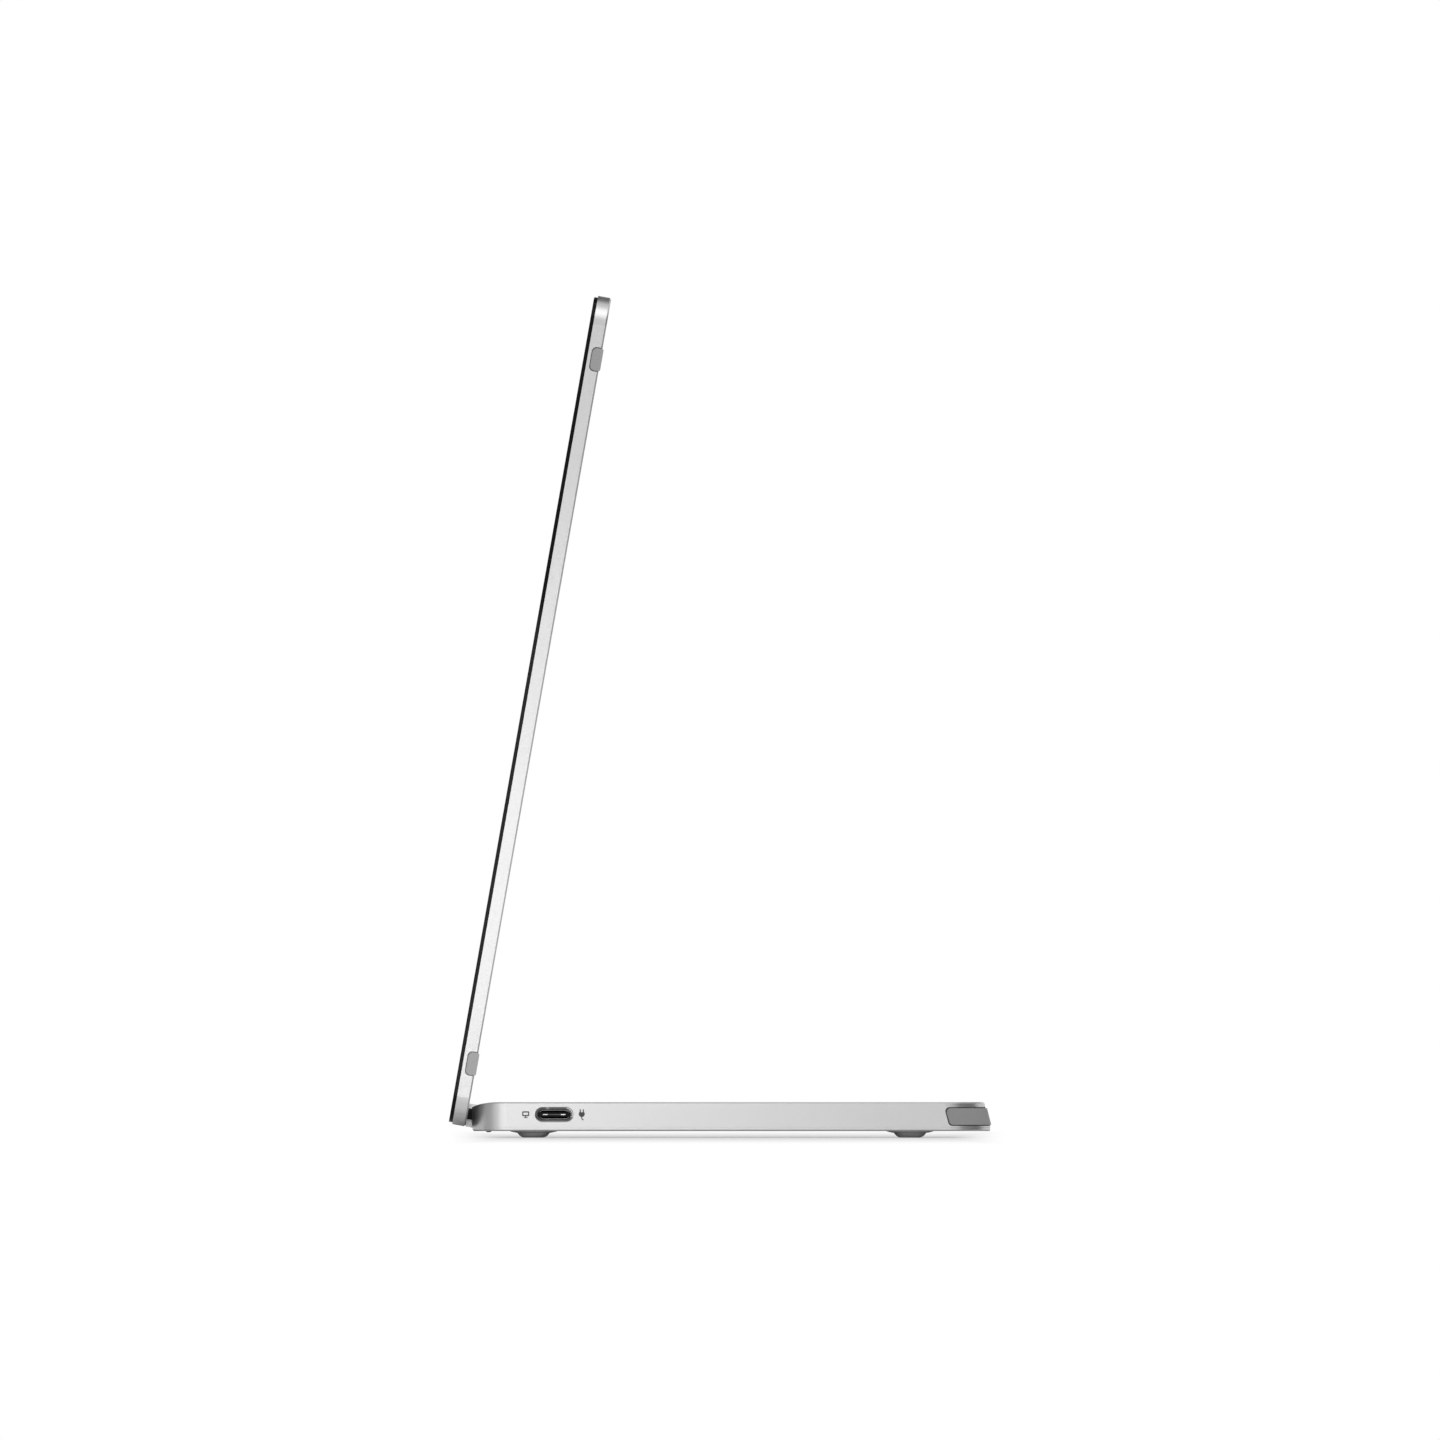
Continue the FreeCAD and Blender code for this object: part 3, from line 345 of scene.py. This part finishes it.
# Name, place, point it faces, width and height in metres; for a lamp also its power in watts.
LAMPS = [
    ("high_box", (0.71, -0.02, 0.91), (0.16, -0.02, 0.2), (0.9, 0.55), 2.0),
    ("low_box", (0.56, -0.100, 0.030), (0.16, -0.100, 0.030), (0.20, 0.20), 0.255),
]
CARDS = [
    ("left_card", (0.46, -0.65, 0.2), (0, 0, 0.2), (0.44, 0.6)),
    ("right_card", (0.40, 0.69, 0.2), (0, 0, 0.2), (1.1, 0.6)),
    ("rear_card", (-0.46, -0.02, 0.85), (0.16, -0.02, 0.2), (1.2, 0.9)),
]
for lamp in LAMPS:
    soft_box(*lamp)
for card in CARDS:
    dark_card(*card)
bpy.ops.object.select_all(action="DESELECT")
print("lamps", [lamp[0] for lamp in LAMPS], "cards", [card[0] for card in CARDS])

# %% [markdown]
# ## Blasted aluminium
#
# Shell, back cover and keys are aluminium, shot with fine glass beads and clear anodised. It is a real
# metal, so metallic is 1, but the beads leave a skin of tiny dents that spreads every reflection: a high
# roughness with a dent relief about 0.15 mm wide. The hinge cover is the same metal, polished, so its dents
# are shallow and its roughness is low. A faint large-scale drift of tone stands for the uneven dye of the
# anodising bath. An image of grain could be mapped instead, but noise needs no file.

# %% Aluminium finishes
def blasted_metal(name, dark, light, rough, dent=0.000004):
    material, shader = new_finish(name)
    where = place(material)
    beads = grain(material, where, 6500.0, 2.0)
    bath = grain(material, where, 14.0, 4.0)
    tone = reckon(material, "MULTIPLY_ADD", beads, bath, 0.25)
    wire(material, shader,
         base_color=shade(material, tone, dark, light, 0.35, 0.65),
         roughness=spread(material, beads, rough - 0.04, rough + 0.04))
    relief(material, shader, beads, dent)
    shader.inputs["Metallic"].default_value = 1.0
    return material


def greys(low, high, tint=1.0):
    """Two greys, with a slightly cool tint where tint is over 1."""
    return (low, low, low * tint), (high, high, high * tint)


shell_metal = blasted_metal("shell_metal_blasted", *greys(0.495, 0.54), 0.36)
key_metal = blasted_metal("key_metal_blasted", *greys(0.47, 0.52), 0.30)
bar_metal = blasted_metal("bar_metal_polished", *greys(0.47, 0.52), 0.15, 0.0000003)
print("aluminium", shell_metal.name, key_metal.name, bar_metal.name)

# %% [markdown]
# ## Front glass
#
# The front is one sheet of hard glass with a black printed border behind it. Inside the border lies the
# picture area, a touch lighter and cooler when the panel is off. The border is drawn by distance from the
# middle of the screen: the coordinates are turned back by the lean of the screen, so the sheet is upright
# again and its picture area is a plain rectangle. A separate ring of mesh would only fight the glass.

# %% Glass finish
SCREEN_LEAN = math.radians(10)
HINGE_Y = -58.0946 * MM
HINGE_Z = 4.8 * MM
PICTURE_HALF = 154.95 * MM
PICTURE_LOW = 22.5 * MM
PICTURE_HIGH = 196.8 * MM


def dark_glass(name):
    material, shader = new_finish(name)
    where = node(material, "ShaderNodeTexCoord").outputs["Object"]
    shifted = node(material, "ShaderNodeVectorMath", {0: where}, operation="SUBTRACT")
    shifted.inputs[1].default_value = (0, HINGE_Y, HINGE_Z)
    upright = node(material, "ShaderNodeMapping", {"Vector": shifted.outputs[0]},
                   rotation=(SCREEN_LEAN, 0, 0))
    axes = node(material, "ShaderNodeSeparateXYZ", {0: upright.outputs[0]})
    side = reckon(material, "ABSOLUTE", axes.outputs["X"])
    height = reckon(material, "SUBTRACT", axes.outputs["Z"], (PICTURE_LOW + PICTURE_HIGH) / 2)
    in_width = reckon(material, "LESS_THAN", side, PICTURE_HALF)
    in_height = reckon(material, "LESS_THAN", reckon(material, "ABSOLUTE", height),
                       (PICTURE_HIGH - PICTURE_LOW) / 2)
    inside = reckon(material, "MULTIPLY", in_width, in_height)
    smear = grain(material, place(material, (1, 1, 0.4)), 22.0, 5.0)
    ink = shade(material, smear, (0.002, 0.002, 0.002), (0.004, 0.004, 0.0045))
    panel = shade(material, smear, (0.010, 0.011, 0.013), (0.015, 0.016, 0.019))
    both = node(material, "ShaderNodeMix", {0: inside, 6: ink, 7: panel}, data_type="RGBA")
    wire(material, shader,
         base_color=both.outputs[2],
         roughness=spread(material, smear, 0.05, 0.11))
    relief(material, shader, grain(material, where, 60.0, 2.0), 0.000002)
    shader.inputs["IOR"].default_value = 1.5
    shader.inputs["Specular IOR Level"].default_value = 0.09
    return material


front_glass = dark_glass("front_glass_dark")
picture = (2 * PICTURE_HALF, PICTURE_HIGH - PICTURE_LOW)
print("picture area", [round(v / MM, 1) for v in picture], "mm")

# %% [markdown]
# ## Moulded rubber and plastic
#
# Feet and corner bumpers are moulded silicone rubber: matt, slightly cloudy, with the fine pebble of the
# spark-eroded mould. The edge pads come from a polished mould and have a satin sheen. The socket tongue,
# chips and panel frame are moulded plastic with a finer pebble. One function makes them all, because only
# tone, sheen and pebble size differ. The pebble is a Voronoi pattern used as relief; painting it in the
# colour would look like dots.

# %% Rubber and plastic finishes
def moulded(name, dark, light, rough, pebble, depth, sheen=0.35):
    """Pebble is the size of one grain of the mould, depth its height, both in metres."""
    material, shader = new_finish(name)
    where = place(material)
    cells = node(material, "ShaderNodeTexVoronoi", {"Vector": where}, scale=1 / pebble)
    cloud = grain(material, where, 45.0, 6.0, 0.6)
    wire(material, shader,
         base_color=shade(material, cloud, dark, light),
         roughness=spread(material, cloud, rough - 0.06, rough + 0.06))
    relief(material, shader, cells.outputs["Distance"], depth)
    shader.inputs["Specular IOR Level"].default_value = sheen
    return material


# The feet are painted much lighter than the bumpers, though they are the same rubber: painted light for the
# shade under the base.
foot_rubber = moulded("foot_rubber_painted_light", *greys(0.50, 0.54), 0.78, 0.00035, 0.000012)
edge_rubber = moulded("edge_rubber_satin", *greys(0.24, 0.27), 0.28, 0.00030, 0.000002, sheen=1.0)
bumper_rubber = moulded("bumper_rubber_matt", *greys(0.235, 0.265), 0.72, 0.00030, 0.000010)
socket_plastic = moulded("socket_plastic_fine", *greys(0.008, 0.013, 1.05), 0.60, 0.00012, 0.000003,
                         sheen=0.1)
chip_black = moulded("chip_black_moulded", *greys(0.020, 0.034), 0.55, 0.00010, 0.000003)
frame_plastic = moulded("frame_plastic_black", *greys(0.035, 0.050), 0.50, 0.00020, 0.000004)
print("moulded", [m.name for m in (foot_rubber, edge_rubber, bumper_rubber, socket_plastic, chip_black)])

# %% [markdown]
# ## Steel, gold and black coats
#
# Pins, washers and screws are turned steel, the socket shell is drawn from stainless sheet, contacts are
# flashed with gold. Such metals have fine streaks along the way the tool or the die went. A noise that
# is squeezed across and drawn out along one axis gives streaks on any shape without a UV map. Coated
# steel instead has the soft orange-peel of a sprayed coat, made by a slow, shallow noise.

# %% Streaked metals and coated metals
def streaked(name, dark, light, rough, along, fine=5000.0):
    """Along is the stretch of the noise on each axis: small along the streaks."""
    material, shader = new_finish(name)
    lines = grain(material, place(material, along), fine, 3.0)
    stain = grain(material, place(material), 160.0, 4.0)
    wire(material, shader,
         base_color=shade(material, stain, dark, light),
         roughness=spread(material, lines, rough - 0.08, rough + 0.10))
    relief(material, shader, lines, 0.000002)
    shader.inputs["Metallic"].default_value = 1.0
    return material


def coated(name, dark, light, rough):
    material, shader = new_finish(name)
    where = place(material)
    peel = grain(material, where, 1400.0, 2.0)
    wear = grain(material, where, 220.0, 5.0)
    wire(material, shader,
         base_color=shade(material, wear, dark, light),
         roughness=spread(material, wear, rough - 0.05, rough + 0.08))
    relief(material, shader, peel, 0.000006)
    shader.inputs["Coat Weight"].default_value = 0.15
    shader.inputs["Coat Roughness"].default_value = 0.3
    return material


ROUND_X = (1.0, 0.06, 0.06)
ALONG_X = (0.03, 1.0, 1.0)
ALONG_Y = (1.0, 0.05, 1.0)
steel = streaked("steel_turned", (0.50, 0.50, 0.51), (0.60, 0.60, 0.61), 0.30, ROUND_X)
# The socket shell is painted far darker than stainless steel: painted shade of the recess it sits in.
socket_steel = streaked("socket_steel_painted_shade", (0.07, 0.07, 0.072), (0.10, 0.10, 0.102), 0.34, ALONG_X)
contact_gold = streaked("contact_gold_flash", (0.78, 0.57, 0.22), (0.86, 0.66, 0.30), 0.22, ALONG_X)
shield_tin = streaked("shield_tin_sheet", (0.58, 0.58, 0.56), (0.69, 0.69, 0.67), 0.34, ALONG_Y, 2500.0)
hinge_black = coated("hinge_black_coat", *greys(0.022, 0.034, 1.08), 0.42)
screw_black = coated("screw_black_oxide", *greys(0.045, 0.070, 1.06), 0.38)
print("metals", [m.name for m in (steel, socket_steel, contact_gold, shield_tin, hinge_black, screw_black)])

# %% [markdown]
# ## Boards, flexes and cable
#
# Inside the base lie green circuit boards, amber flexible strips and a taped cable bundle. They are seen only
# when the shell is taken off, yet a reusable part should still be right inside. Copper runs are parallel
# lines under the lacquer: a Brick texture gives long bars with thin joints, and the joints read as gaps
# between the runs. The tape of the cable winds round it, so a banded Wave texture along it does the job.

# %% Board, flex and cable finishes
def copper_runs(name, gap, run, pitch, rough):
    """Lacquered or filmed copper runs; pitch is the distance from one run to the next."""
    material, shader = new_finish(name)
    bars = node(material, "ShaderNodeTexBrick", {"Vector": place(material)}, scale=1.0,
                brick_width=14 * pitch, row_height=pitch, mortar_size=0.14 * pitch, mortar_smooth=0.2)
    bars.inputs["Color1"].default_value = (*run, 1)
    bars.inputs["Color2"].default_value = tuple(1.15 * v for v in run) + (1,)
    bars.inputs["Mortar"].default_value = (*gap, 1)
    film = grain(material, place(material), 300.0, 4.0)
    wire(material, shader,
         base_color=bars.outputs["Color"],
         roughness=spread(material, film, rough - 0.06, rough + 0.08))
    relief(material, shader, bars.outputs["Fac"], -0.00002)
    shader.inputs["Coat Weight"].default_value = 0.3
    return material


def taped_bundle(name):
    material, shader = new_finish(name)
    wound = node(material, "ShaderNodeTexWave", {"Vector": place(material, turn=(0, 0, 0.5))},
                 scale=160.0, distortion=0.6, detail=2.0)
    wire(material, shader,
         base_color=shade(material, wound.outputs["Fac"], (0.022, 0.022, 0.025), (0.050, 0.050, 0.055)),
         roughness=spread(material, wound.outputs["Fac"], 0.45, 0.62))
    relief(material, shader, wound.outputs["Fac"], 0.00003)
    return material


board_green = copper_runs("board_green_lacquer", (0.020, 0.10, 0.055), (0.028, 0.155, 0.085), 0.0006, 0.32)
flex_amber = copper_runs("flex_amber_film", (0.26, 0.12, 0.03), (0.42, 0.21, 0.06), 0.0004, 0.30)
cable_black = taped_bundle("cable_black_tape")
print("inside", board_green.name, flex_amber.name, cable_black.name)

# %% [markdown]
# ## The layers behind the glass
#
# A flat display is a sandwich: white reflector, clear light guide with a dotted back, diffusing films, the
# cell with its polariser, clear adhesive. Each layer gets its own look: dots on the guide, a fine grid of
# pixels on the cell, soft clouds in the films. All are opaque or nearly so, because nobody looks through
# them and see-through layers would only cost render time.

# %% Display layer finishes
def film(name, dark, light, rough):
    material, shader = new_finish(name)
    haze = grain(material, place(material), 35.0, 5.0)
    wire(material, shader,
         base_color=shade(material, haze, dark, light),
         roughness=spread(material, haze, rough - 0.05, rough + 0.05))
    relief(material, shader, grain(material, place(material), 2500.0), 0.000003)
    return material


def dotted_guide(name):
    material, shader = new_finish(name)
    cells = node(material, "ShaderNodeTexVoronoi", {"Vector": place(material)}, scale=900.0)
    cells.inputs["Randomness"].default_value = 0.15
    dots = cells.outputs["Distance"]
    wire(material, shader,
         base_color=shade(material, dots, (0.92, 0.94, 0.95), (0.80, 0.84, 0.86), 0.2, 0.3),
         roughness=spread(material, dots, 0.35, 0.12, 0.2, 0.3))
    relief(material, shader, dots, 0.000004)
    return material


def pixel_cell(name):
    material, shader = new_finish(name)
    grid = node(material, "ShaderNodeTexBrick", {"Vector": place(material, turn=(QUARTER, 0, 0))},
                scale=1.0, offset=0.0, brick_width=0.00016, row_height=0.00016, mortar_size=0.00002)
    grid.inputs["Color1"].default_value = (0.045, 0.046, 0.052, 1)
    grid.inputs["Color2"].default_value = (0.055, 0.056, 0.060, 1)
    grid.inputs["Mortar"].default_value = (0.015, 0.015, 0.017, 1)
    haze = grain(material, place(material), 30.0, 4.0)
    wire(material, shader, base_color=grid.outputs["Color"], roughness=spread(material, haze, 0.10, 0.20))
    relief(material, shader, grid.outputs["Fac"], -0.000001)
    return material


sheet_white = film("sheet_white_film", (0.82, 0.82, 0.82), (0.89, 0.89, 0.89), 0.60)
adhesive_clear = film("adhesive_clear_gel", (0.70, 0.71, 0.72), (0.78, 0.79, 0.80), 0.18)
guide_clear = dotted_guide("guide_clear_dotted")
cell_glass = pixel_cell("cell_glass_pixels")
print("layers", sheet_white.name, guide_clear.name, cell_glass.name, adhesive_clear.name)

# %% [markdown]
# ## Give every node its finish
#
# Each CAD node came in with a plain material that carries the name of its slot in the record. That name is
# looked up in one table of finishes. Three nodes share a slot name with others but look different, so they
# are named in a second table. The meshes are not touched: only the material slot changes.

# %% Dress the nodes
FINISHES = {
    "shell_metal": shell_metal, "key_metal": key_metal, "dark_glass": front_glass,
    "foot_rubber": foot_rubber, "edge_rubber": edge_rubber, "hinge_black": hinge_black,
    "steel": steel, "screw_black": screw_black, "socket_steel": socket_steel,
    "socket_plastic": socket_plastic, "contact_gold": contact_gold, "board_green": board_green,
    "chip_black": chip_black, "shield_tin": shield_tin, "flex_amber": flex_amber,
    "cable_black": cable_black, "sheet_white": sheet_white, "guide_clear": guide_clear,
    "cell_glass": cell_glass, "adhesive_clear": adhesive_clear, "frame_plastic": frame_plastic,
}
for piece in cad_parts.values():
    for held in piece.material_slots:
        held.material = FINISHES[held.material.name]
OWN_FINISHES = {
    "hinge_cover": bar_metal, "bumper_rear_right": bumper_rubber, "bumper_rear_left": bumper_rubber,
}
for name, finish in OWN_FINISHES.items():
    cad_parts[name].material_slots[0].material = finish
print("dressed", len(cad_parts), "nodes with", len(FINISHES), "finishes")

# %% [markdown]
# ## Making thin flat pieces
#
# The details that are still to come are all thin and flat: strips of steel in the sockets and ink on the
# walls. Each starts as a plane or a circle lying on the floor, where rounding and cutting are easy. It is
# then thickened, joined with its neighbours and stood on the wall. Curves with a bevel would do as well,
# but they give less control over square ends.

# %% Helpers for thin flat pieces
def flat_plate(name, size, at=(0, 0), corner=0.0):
    """A plane of the given size in X and Y, with its corners rounded off in edit mode."""
    bpy.ops.object.select_all(action="DESELECT")
    bpy.ops.mesh.primitive_plane_add(size=1, location=(*at, 0))
    plate = bpy.context.object
    plate.name = name
    plate.scale = (*size, 1)
    bpy.ops.object.transform_apply(location=True, rotation=True, scale=True)
    if corner:
        bpy.ops.object.mode_set(mode="EDIT")
        bpy.ops.mesh.select_all(action="SELECT")
        bpy.ops.mesh.bevel(offset=corner, offset_type="OFFSET", segments=6, affect="VERTICES")
        bpy.ops.object.mode_set(mode="OBJECT")
    return plate


def open_middle(piece, rim):
    """Insets the one face of a flat piece and takes out what lies inside the rim."""
    bpy.ops.object.mode_set(mode="EDIT")
    bpy.ops.mesh.select_all(action="SELECT")
    bpy.ops.mesh.inset(thickness=rim)
    bpy.ops.mesh.delete(type="FACE")
    bpy.ops.object.mode_set(mode="OBJECT")
    return piece


def thicken(piece, depth):
    """Gives a flat piece its thickness and rounds its upper rim a little."""
    bpy.ops.object.select_all(action="DESELECT")
    piece.select_set(True)
    bpy.context.view_layer.objects.active = piece
    wall = piece.modifiers.new("wall", "SOLIDIFY")
    wall.thickness = depth
    wall.offset = 1.0
    bpy.ops.object.modifier_apply(modifier=wall.name)
    rim = piece.modifiers.new("rim", "BEVEL")
    rim.width = 0.2 * depth
    rim.limit_method = "ANGLE"
    bpy.ops.object.modifier_apply(modifier=rim.name)
    return piece


def joined(name, pieces):
    bpy.ops.object.select_all(action="DESELECT")
    for piece in pieces:
        piece.select_set(True)
    bpy.context.view_layer.objects.active = pieces[0]
    if len(pieces) > 1:
        bpy.ops.object.join()
    pieces[0].name = name
    return pieces[0]


def stand_on_wall(piece, side, x, y, z):
    """Turns a flat piece upright, facing out of the right (1) or left (-1) wall, and applies its place."""
    bpy.ops.object.select_all(action="DESELECT")
    piece.select_set(True)
    bpy.context.view_layer.objects.active = piece
    piece.rotation_euler = (QUARTER, 0, side * QUARTER)
    piece.location = (side * x, y, z)
    bpy.ops.object.transform_apply(location=True, rotation=True, scale=True)
    return piece


print("flat piece helpers ready")

# %% [markdown]
# ## Bright steel inside the sockets
#
# Looking into the data socket, two short bright dashes joined by a dim line show on the front edge of the
# black tongue, and a thin light line follows the opening further in. They are the edge of a steel plate
# buried in the tongue and the lip of the metal housing. The tongue ends in a moulded nose that hides the
# ends of the contacts. CAD leaves all of these out because they carry nothing. Dash, line and nose are
# planes with rounded corners given a thickness; the lip is the same outline with its middle taken out.

# %% Nose, dashes, line and lip in both sockets
DASH_SIZE = (1.2 * MM, 0.19 * MM)
DASH_OFFSET = 2.2 * MM
DASH_CORNER = 0.1 * MM
DASH_DEPTH = 0.03 * MM
LINE_SIZE = (3.4 * MM, 0.16 * MM)
LINE_CORNER = 0.05 * MM
NOSE_RIM = 0.11 * MM
NOSE_CORNER = 0.3 * MM
NOSE_DEPTH = 0.10 * MM
LIP_SIZE = (7.7 * MM, 2.25 * MM)
LIP_CORNER = 1.1 * MM
LIP_RIM = 0.13 * MM
LIP_DEPTH = 0.10 * MM

bright_steel = streaked("bright_steel_strip", (0.66, 0.66, 0.66), (0.74, 0.74, 0.74), 0.14, ALONG_X)
# The line is the same steel plate as the dashes, painted near black: painted shade inside the socket.
plate_steel_painted_shade = streaked("plate_steel_painted_shade_line", (0.07, 0.07, 0.072), (0.10, 0.10, 0.102), 0.30, ALONG_X)
# The lip is painted darker than bare steel, though lighter than the shell: painted shade deep in the opening.
lip_steel = streaked("lip_steel_painted_shade", (0.20, 0.20, 0.205), (0.27, 0.27, 0.275), 0.20, ALONG_X)
for side, hand in ((1, "right"), (-1, "left")):
    tongue_low, tongue_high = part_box("data_socket_tongue_" + hand)
    contact_low, contact_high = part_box("data_socket_contacts_" + hand)
    tip = max(abs(tongue_low.x), abs(tongue_high.x))
    root = min(abs(contact_low.x), abs(contact_high.x))
    middle_y = (tongue_low.y + tongue_high.y) / 2
    middle_z = (tongue_low.z + tongue_high.z) / 2
    nose_size = (tongue_high.y - tongue_low.y, contact_high.z - contact_low.z + 2 * NOSE_RIM)
    nose = thicken(flat_plate("tongue_nose_" + hand, nose_size, corner=NOSE_CORNER), NOSE_DEPTH)
    dashes = []
    for shift in (-DASH_OFFSET, DASH_OFFSET):
        dashes.append(thicken(flat_plate("dash", DASH_SIZE, (shift, 0), DASH_CORNER), DASH_DEPTH))
    plate = joined("tongue_plate_" + hand, dashes)
    line = thicken(flat_plate("tongue_line_" + hand, LINE_SIZE, corner=LINE_CORNER), DASH_DEPTH)
    lip = open_middle(flat_plate("socket_lip_" + hand, LIP_SIZE, corner=LIP_CORNER), LIP_RIM)
    thicken(lip, LIP_DEPTH)
    for piece, finish, slot, x in (
        (nose, socket_plastic, "socket_plastic", tip),
        (plate, bright_steel, "steel", tip + NOSE_DEPTH),
        (line, plate_steel_painted_shade, "socket_steel", tip + NOSE_DEPTH),
        (lip, lip_steel, "socket_steel", root),
    ):
        stand_on_wall(piece, side, x, middle_y, middle_z)
        piece.data.materials.append(finish)
        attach(piece, "base")
    print(hand, "socket", {piece.name: len(piece.data.polygons) for piece in (nose, plate, line, lip)})

# %% [markdown]
# ## Printed signs
#
# Beside the sockets and keys the wall carries tiny printed signs in dark grey: a plug for power, a small
# screen for picture, a ring with a bar for the power key and a sun for brightness. All four are plain
# common signs drawn for this part. A sign is a film of ink about two hundredths of a millimetre thick, made
# from bars, discs and arcs. A picture texture would need a file, and painting signs by coordinates in the
# metal would spoil its node tree.

# %% Ink finish and the parts of a sign
INK_DEPTH = 0.02 * MM
INK_SUNK = 0.2 * INK_DEPTH
LINE = 0.22 * MM

sign_ink, ink_shader = new_finish("sign_ink_grey")
blotch = grain(sign_ink, place(sign_ink), 4000.0, 3.0)
wire(sign_ink, ink_shader,
     base_color=shade(sign_ink, blotch, (0.040, 0.040, 0.042), (0.065, 0.065, 0.067)),
     roughness=spread(sign_ink, blotch, 0.55, 0.7))
relief(sign_ink, ink_shader, blotch, 0.000003)


def ink_bar(size, at):
    """A printed bar with round ends."""
    return thicken(flat_plate("bar", size, at, 0.3 * min(size)), INK_DEPTH)


def ink_disc(radius, at, flat_top=None):
    """A printed disc, cut off level at a height where flat_top is given."""
    bpy.ops.object.select_all(action="DESELECT")
    bpy.ops.mesh.primitive_circle_add(vertices=32, radius=radius, fill_type="NGON", location=(*at, 0))
    disc = bpy.context.object
    bpy.ops.object.transform_apply(location=True, rotation=True, scale=True)
    if flat_top is not None:
        bpy.ops.object.mode_set(mode="EDIT")
        bpy.ops.mesh.select_all(action="SELECT")
        bpy.ops.mesh.bisect(plane_co=(0, flat_top, 0), plane_no=(0, 1, 0), clear_outer=True)
        bpy.ops.object.mode_set(mode="OBJECT")
    return thicken(disc, INK_DEPTH)


def ink_arc(radius, centre, start, turn, line=LINE):
    """A printed arc: a strip of short bars, bent round a centre."""
    bpy.ops.object.select_all(action="DESELECT")
    bpy.ops.mesh.primitive_grid_add(x_subdivisions=1, y_subdivisions=24, size=1)
    arc = bpy.context.object
    for corner in arc.data.vertices:
        reach = radius + line * corner.co.x
        angle = start + turn * (corner.co.y + 0.5)
        corner.co.x = centre[0] + reach * math.cos(angle)
        corner.co.y = centre[1] + reach * math.sin(angle)
    return thicken(arc, INK_DEPTH)


print("ink ready, lines", LINE / MM, "mm wide")

# %% [markdown]
# ## The four signs
#
# Each sign is drawn round its own middle, so that it can be printed anywhere. The plug is a disc cut off
# level, with two prongs and a bent tail; the screen is an outline on a foot; the power sign is an open arc
# with a bar; the sun is a disc with eight rays, one ray turned about the middle.

# %% Draw the four signs
def plug_sign(name):
    body = ink_disc(0.76 * MM, (0, 0.05 * MM), 0.38 * MM)
    prongs = [ink_bar((0.30 * MM, 0.80 * MM), (x * MM, 0.80 * MM)) for x in (-0.38, 0.38)]
    lead = ink_bar((0.26 * MM, 0.40 * MM), (0, -0.82 * MM))
    tail = ink_arc(0.46 * MM, (0.46 * MM, -0.95 * MM), math.pi, QUARTER, 0.26 * MM)
    return joined(name, [body, *prongs, lead, tail])


def screen_sign(name):
    outline = flat_plate("outline", (1.75 * MM, 1.2 * MM), (0, 0.25 * MM), 0.2 * MM)
    outline = thicken(open_middle(outline, 1.4 * LINE), INK_DEPTH)
    neck = ink_bar((0.26 * MM, 0.32 * MM), (0, -0.46 * MM))
    foot = ink_bar((0.95 * MM, LINE), (0, -0.68 * MM))
    return joined(name, [outline, neck, foot])


def power_sign(name):
    ring = ink_arc(0.72 * MM, (0, 0), math.radians(130), math.radians(280))
    return joined(name, [ring, ink_bar((LINE, 0.85 * MM), (0, 0.58 * MM))])


def sun_sign(name):
    rays = []
    for i in range(8):
        ray = ink_bar((LINE, 0.42 * MM), (0, 0.86 * MM))
        bpy.ops.transform.rotate(value=i * QUARTER / 2, orient_axis="Z", center_override=(0, 0, 0))
        bpy.ops.object.transform_apply(location=True, rotation=True, scale=True)
        rays.append(ray)
    return joined(name, [ink_disc(0.42 * MM, (0, 0)), *rays])


print("signs", [draw.__name__ for draw in (plug_sign, screen_sign, power_sign, sun_sign)])

# %% [markdown]
# ## Print the signs
#
# The plug and the screen stand beside each socket, the power sign and the sun beside their keys on the left
# wall. Each is sunk a few thousandths of a millimetre into the metal, as ink is, so that no light shows under
# its rim. They ride on the base.

# %% Print the signs on the walls
WALL = 161.5 * MM
# Drawing, name, right (1) or left (-1) wall, place along Y and height in millimetres.
SIGNS = [
    (plug_sign, "plug_sign_right", 1, -34.3, 5.8),
    (screen_sign, "screen_sign_right", 1, -48.2, 5.65),
    (plug_sign, "plug_sign_left", -1, -34.3, 5.8),
    (screen_sign, "screen_sign_left", -1, -48.2, 5.65),
    (power_sign, "power_sign_left", -1, -23.4, 5.6),
    (sun_sign, "sun_sign_left", -1, -8.0, 5.6),
]
for draw, name, side, y, z in SIGNS:
    sign = stand_on_wall(draw(name), side, WALL - INK_SUNK, y * MM, z * MM)
    sign.data.materials.append(sign_ink)
    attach(sign, "base")
    print(name, len(sign.data.polygons), "faces")
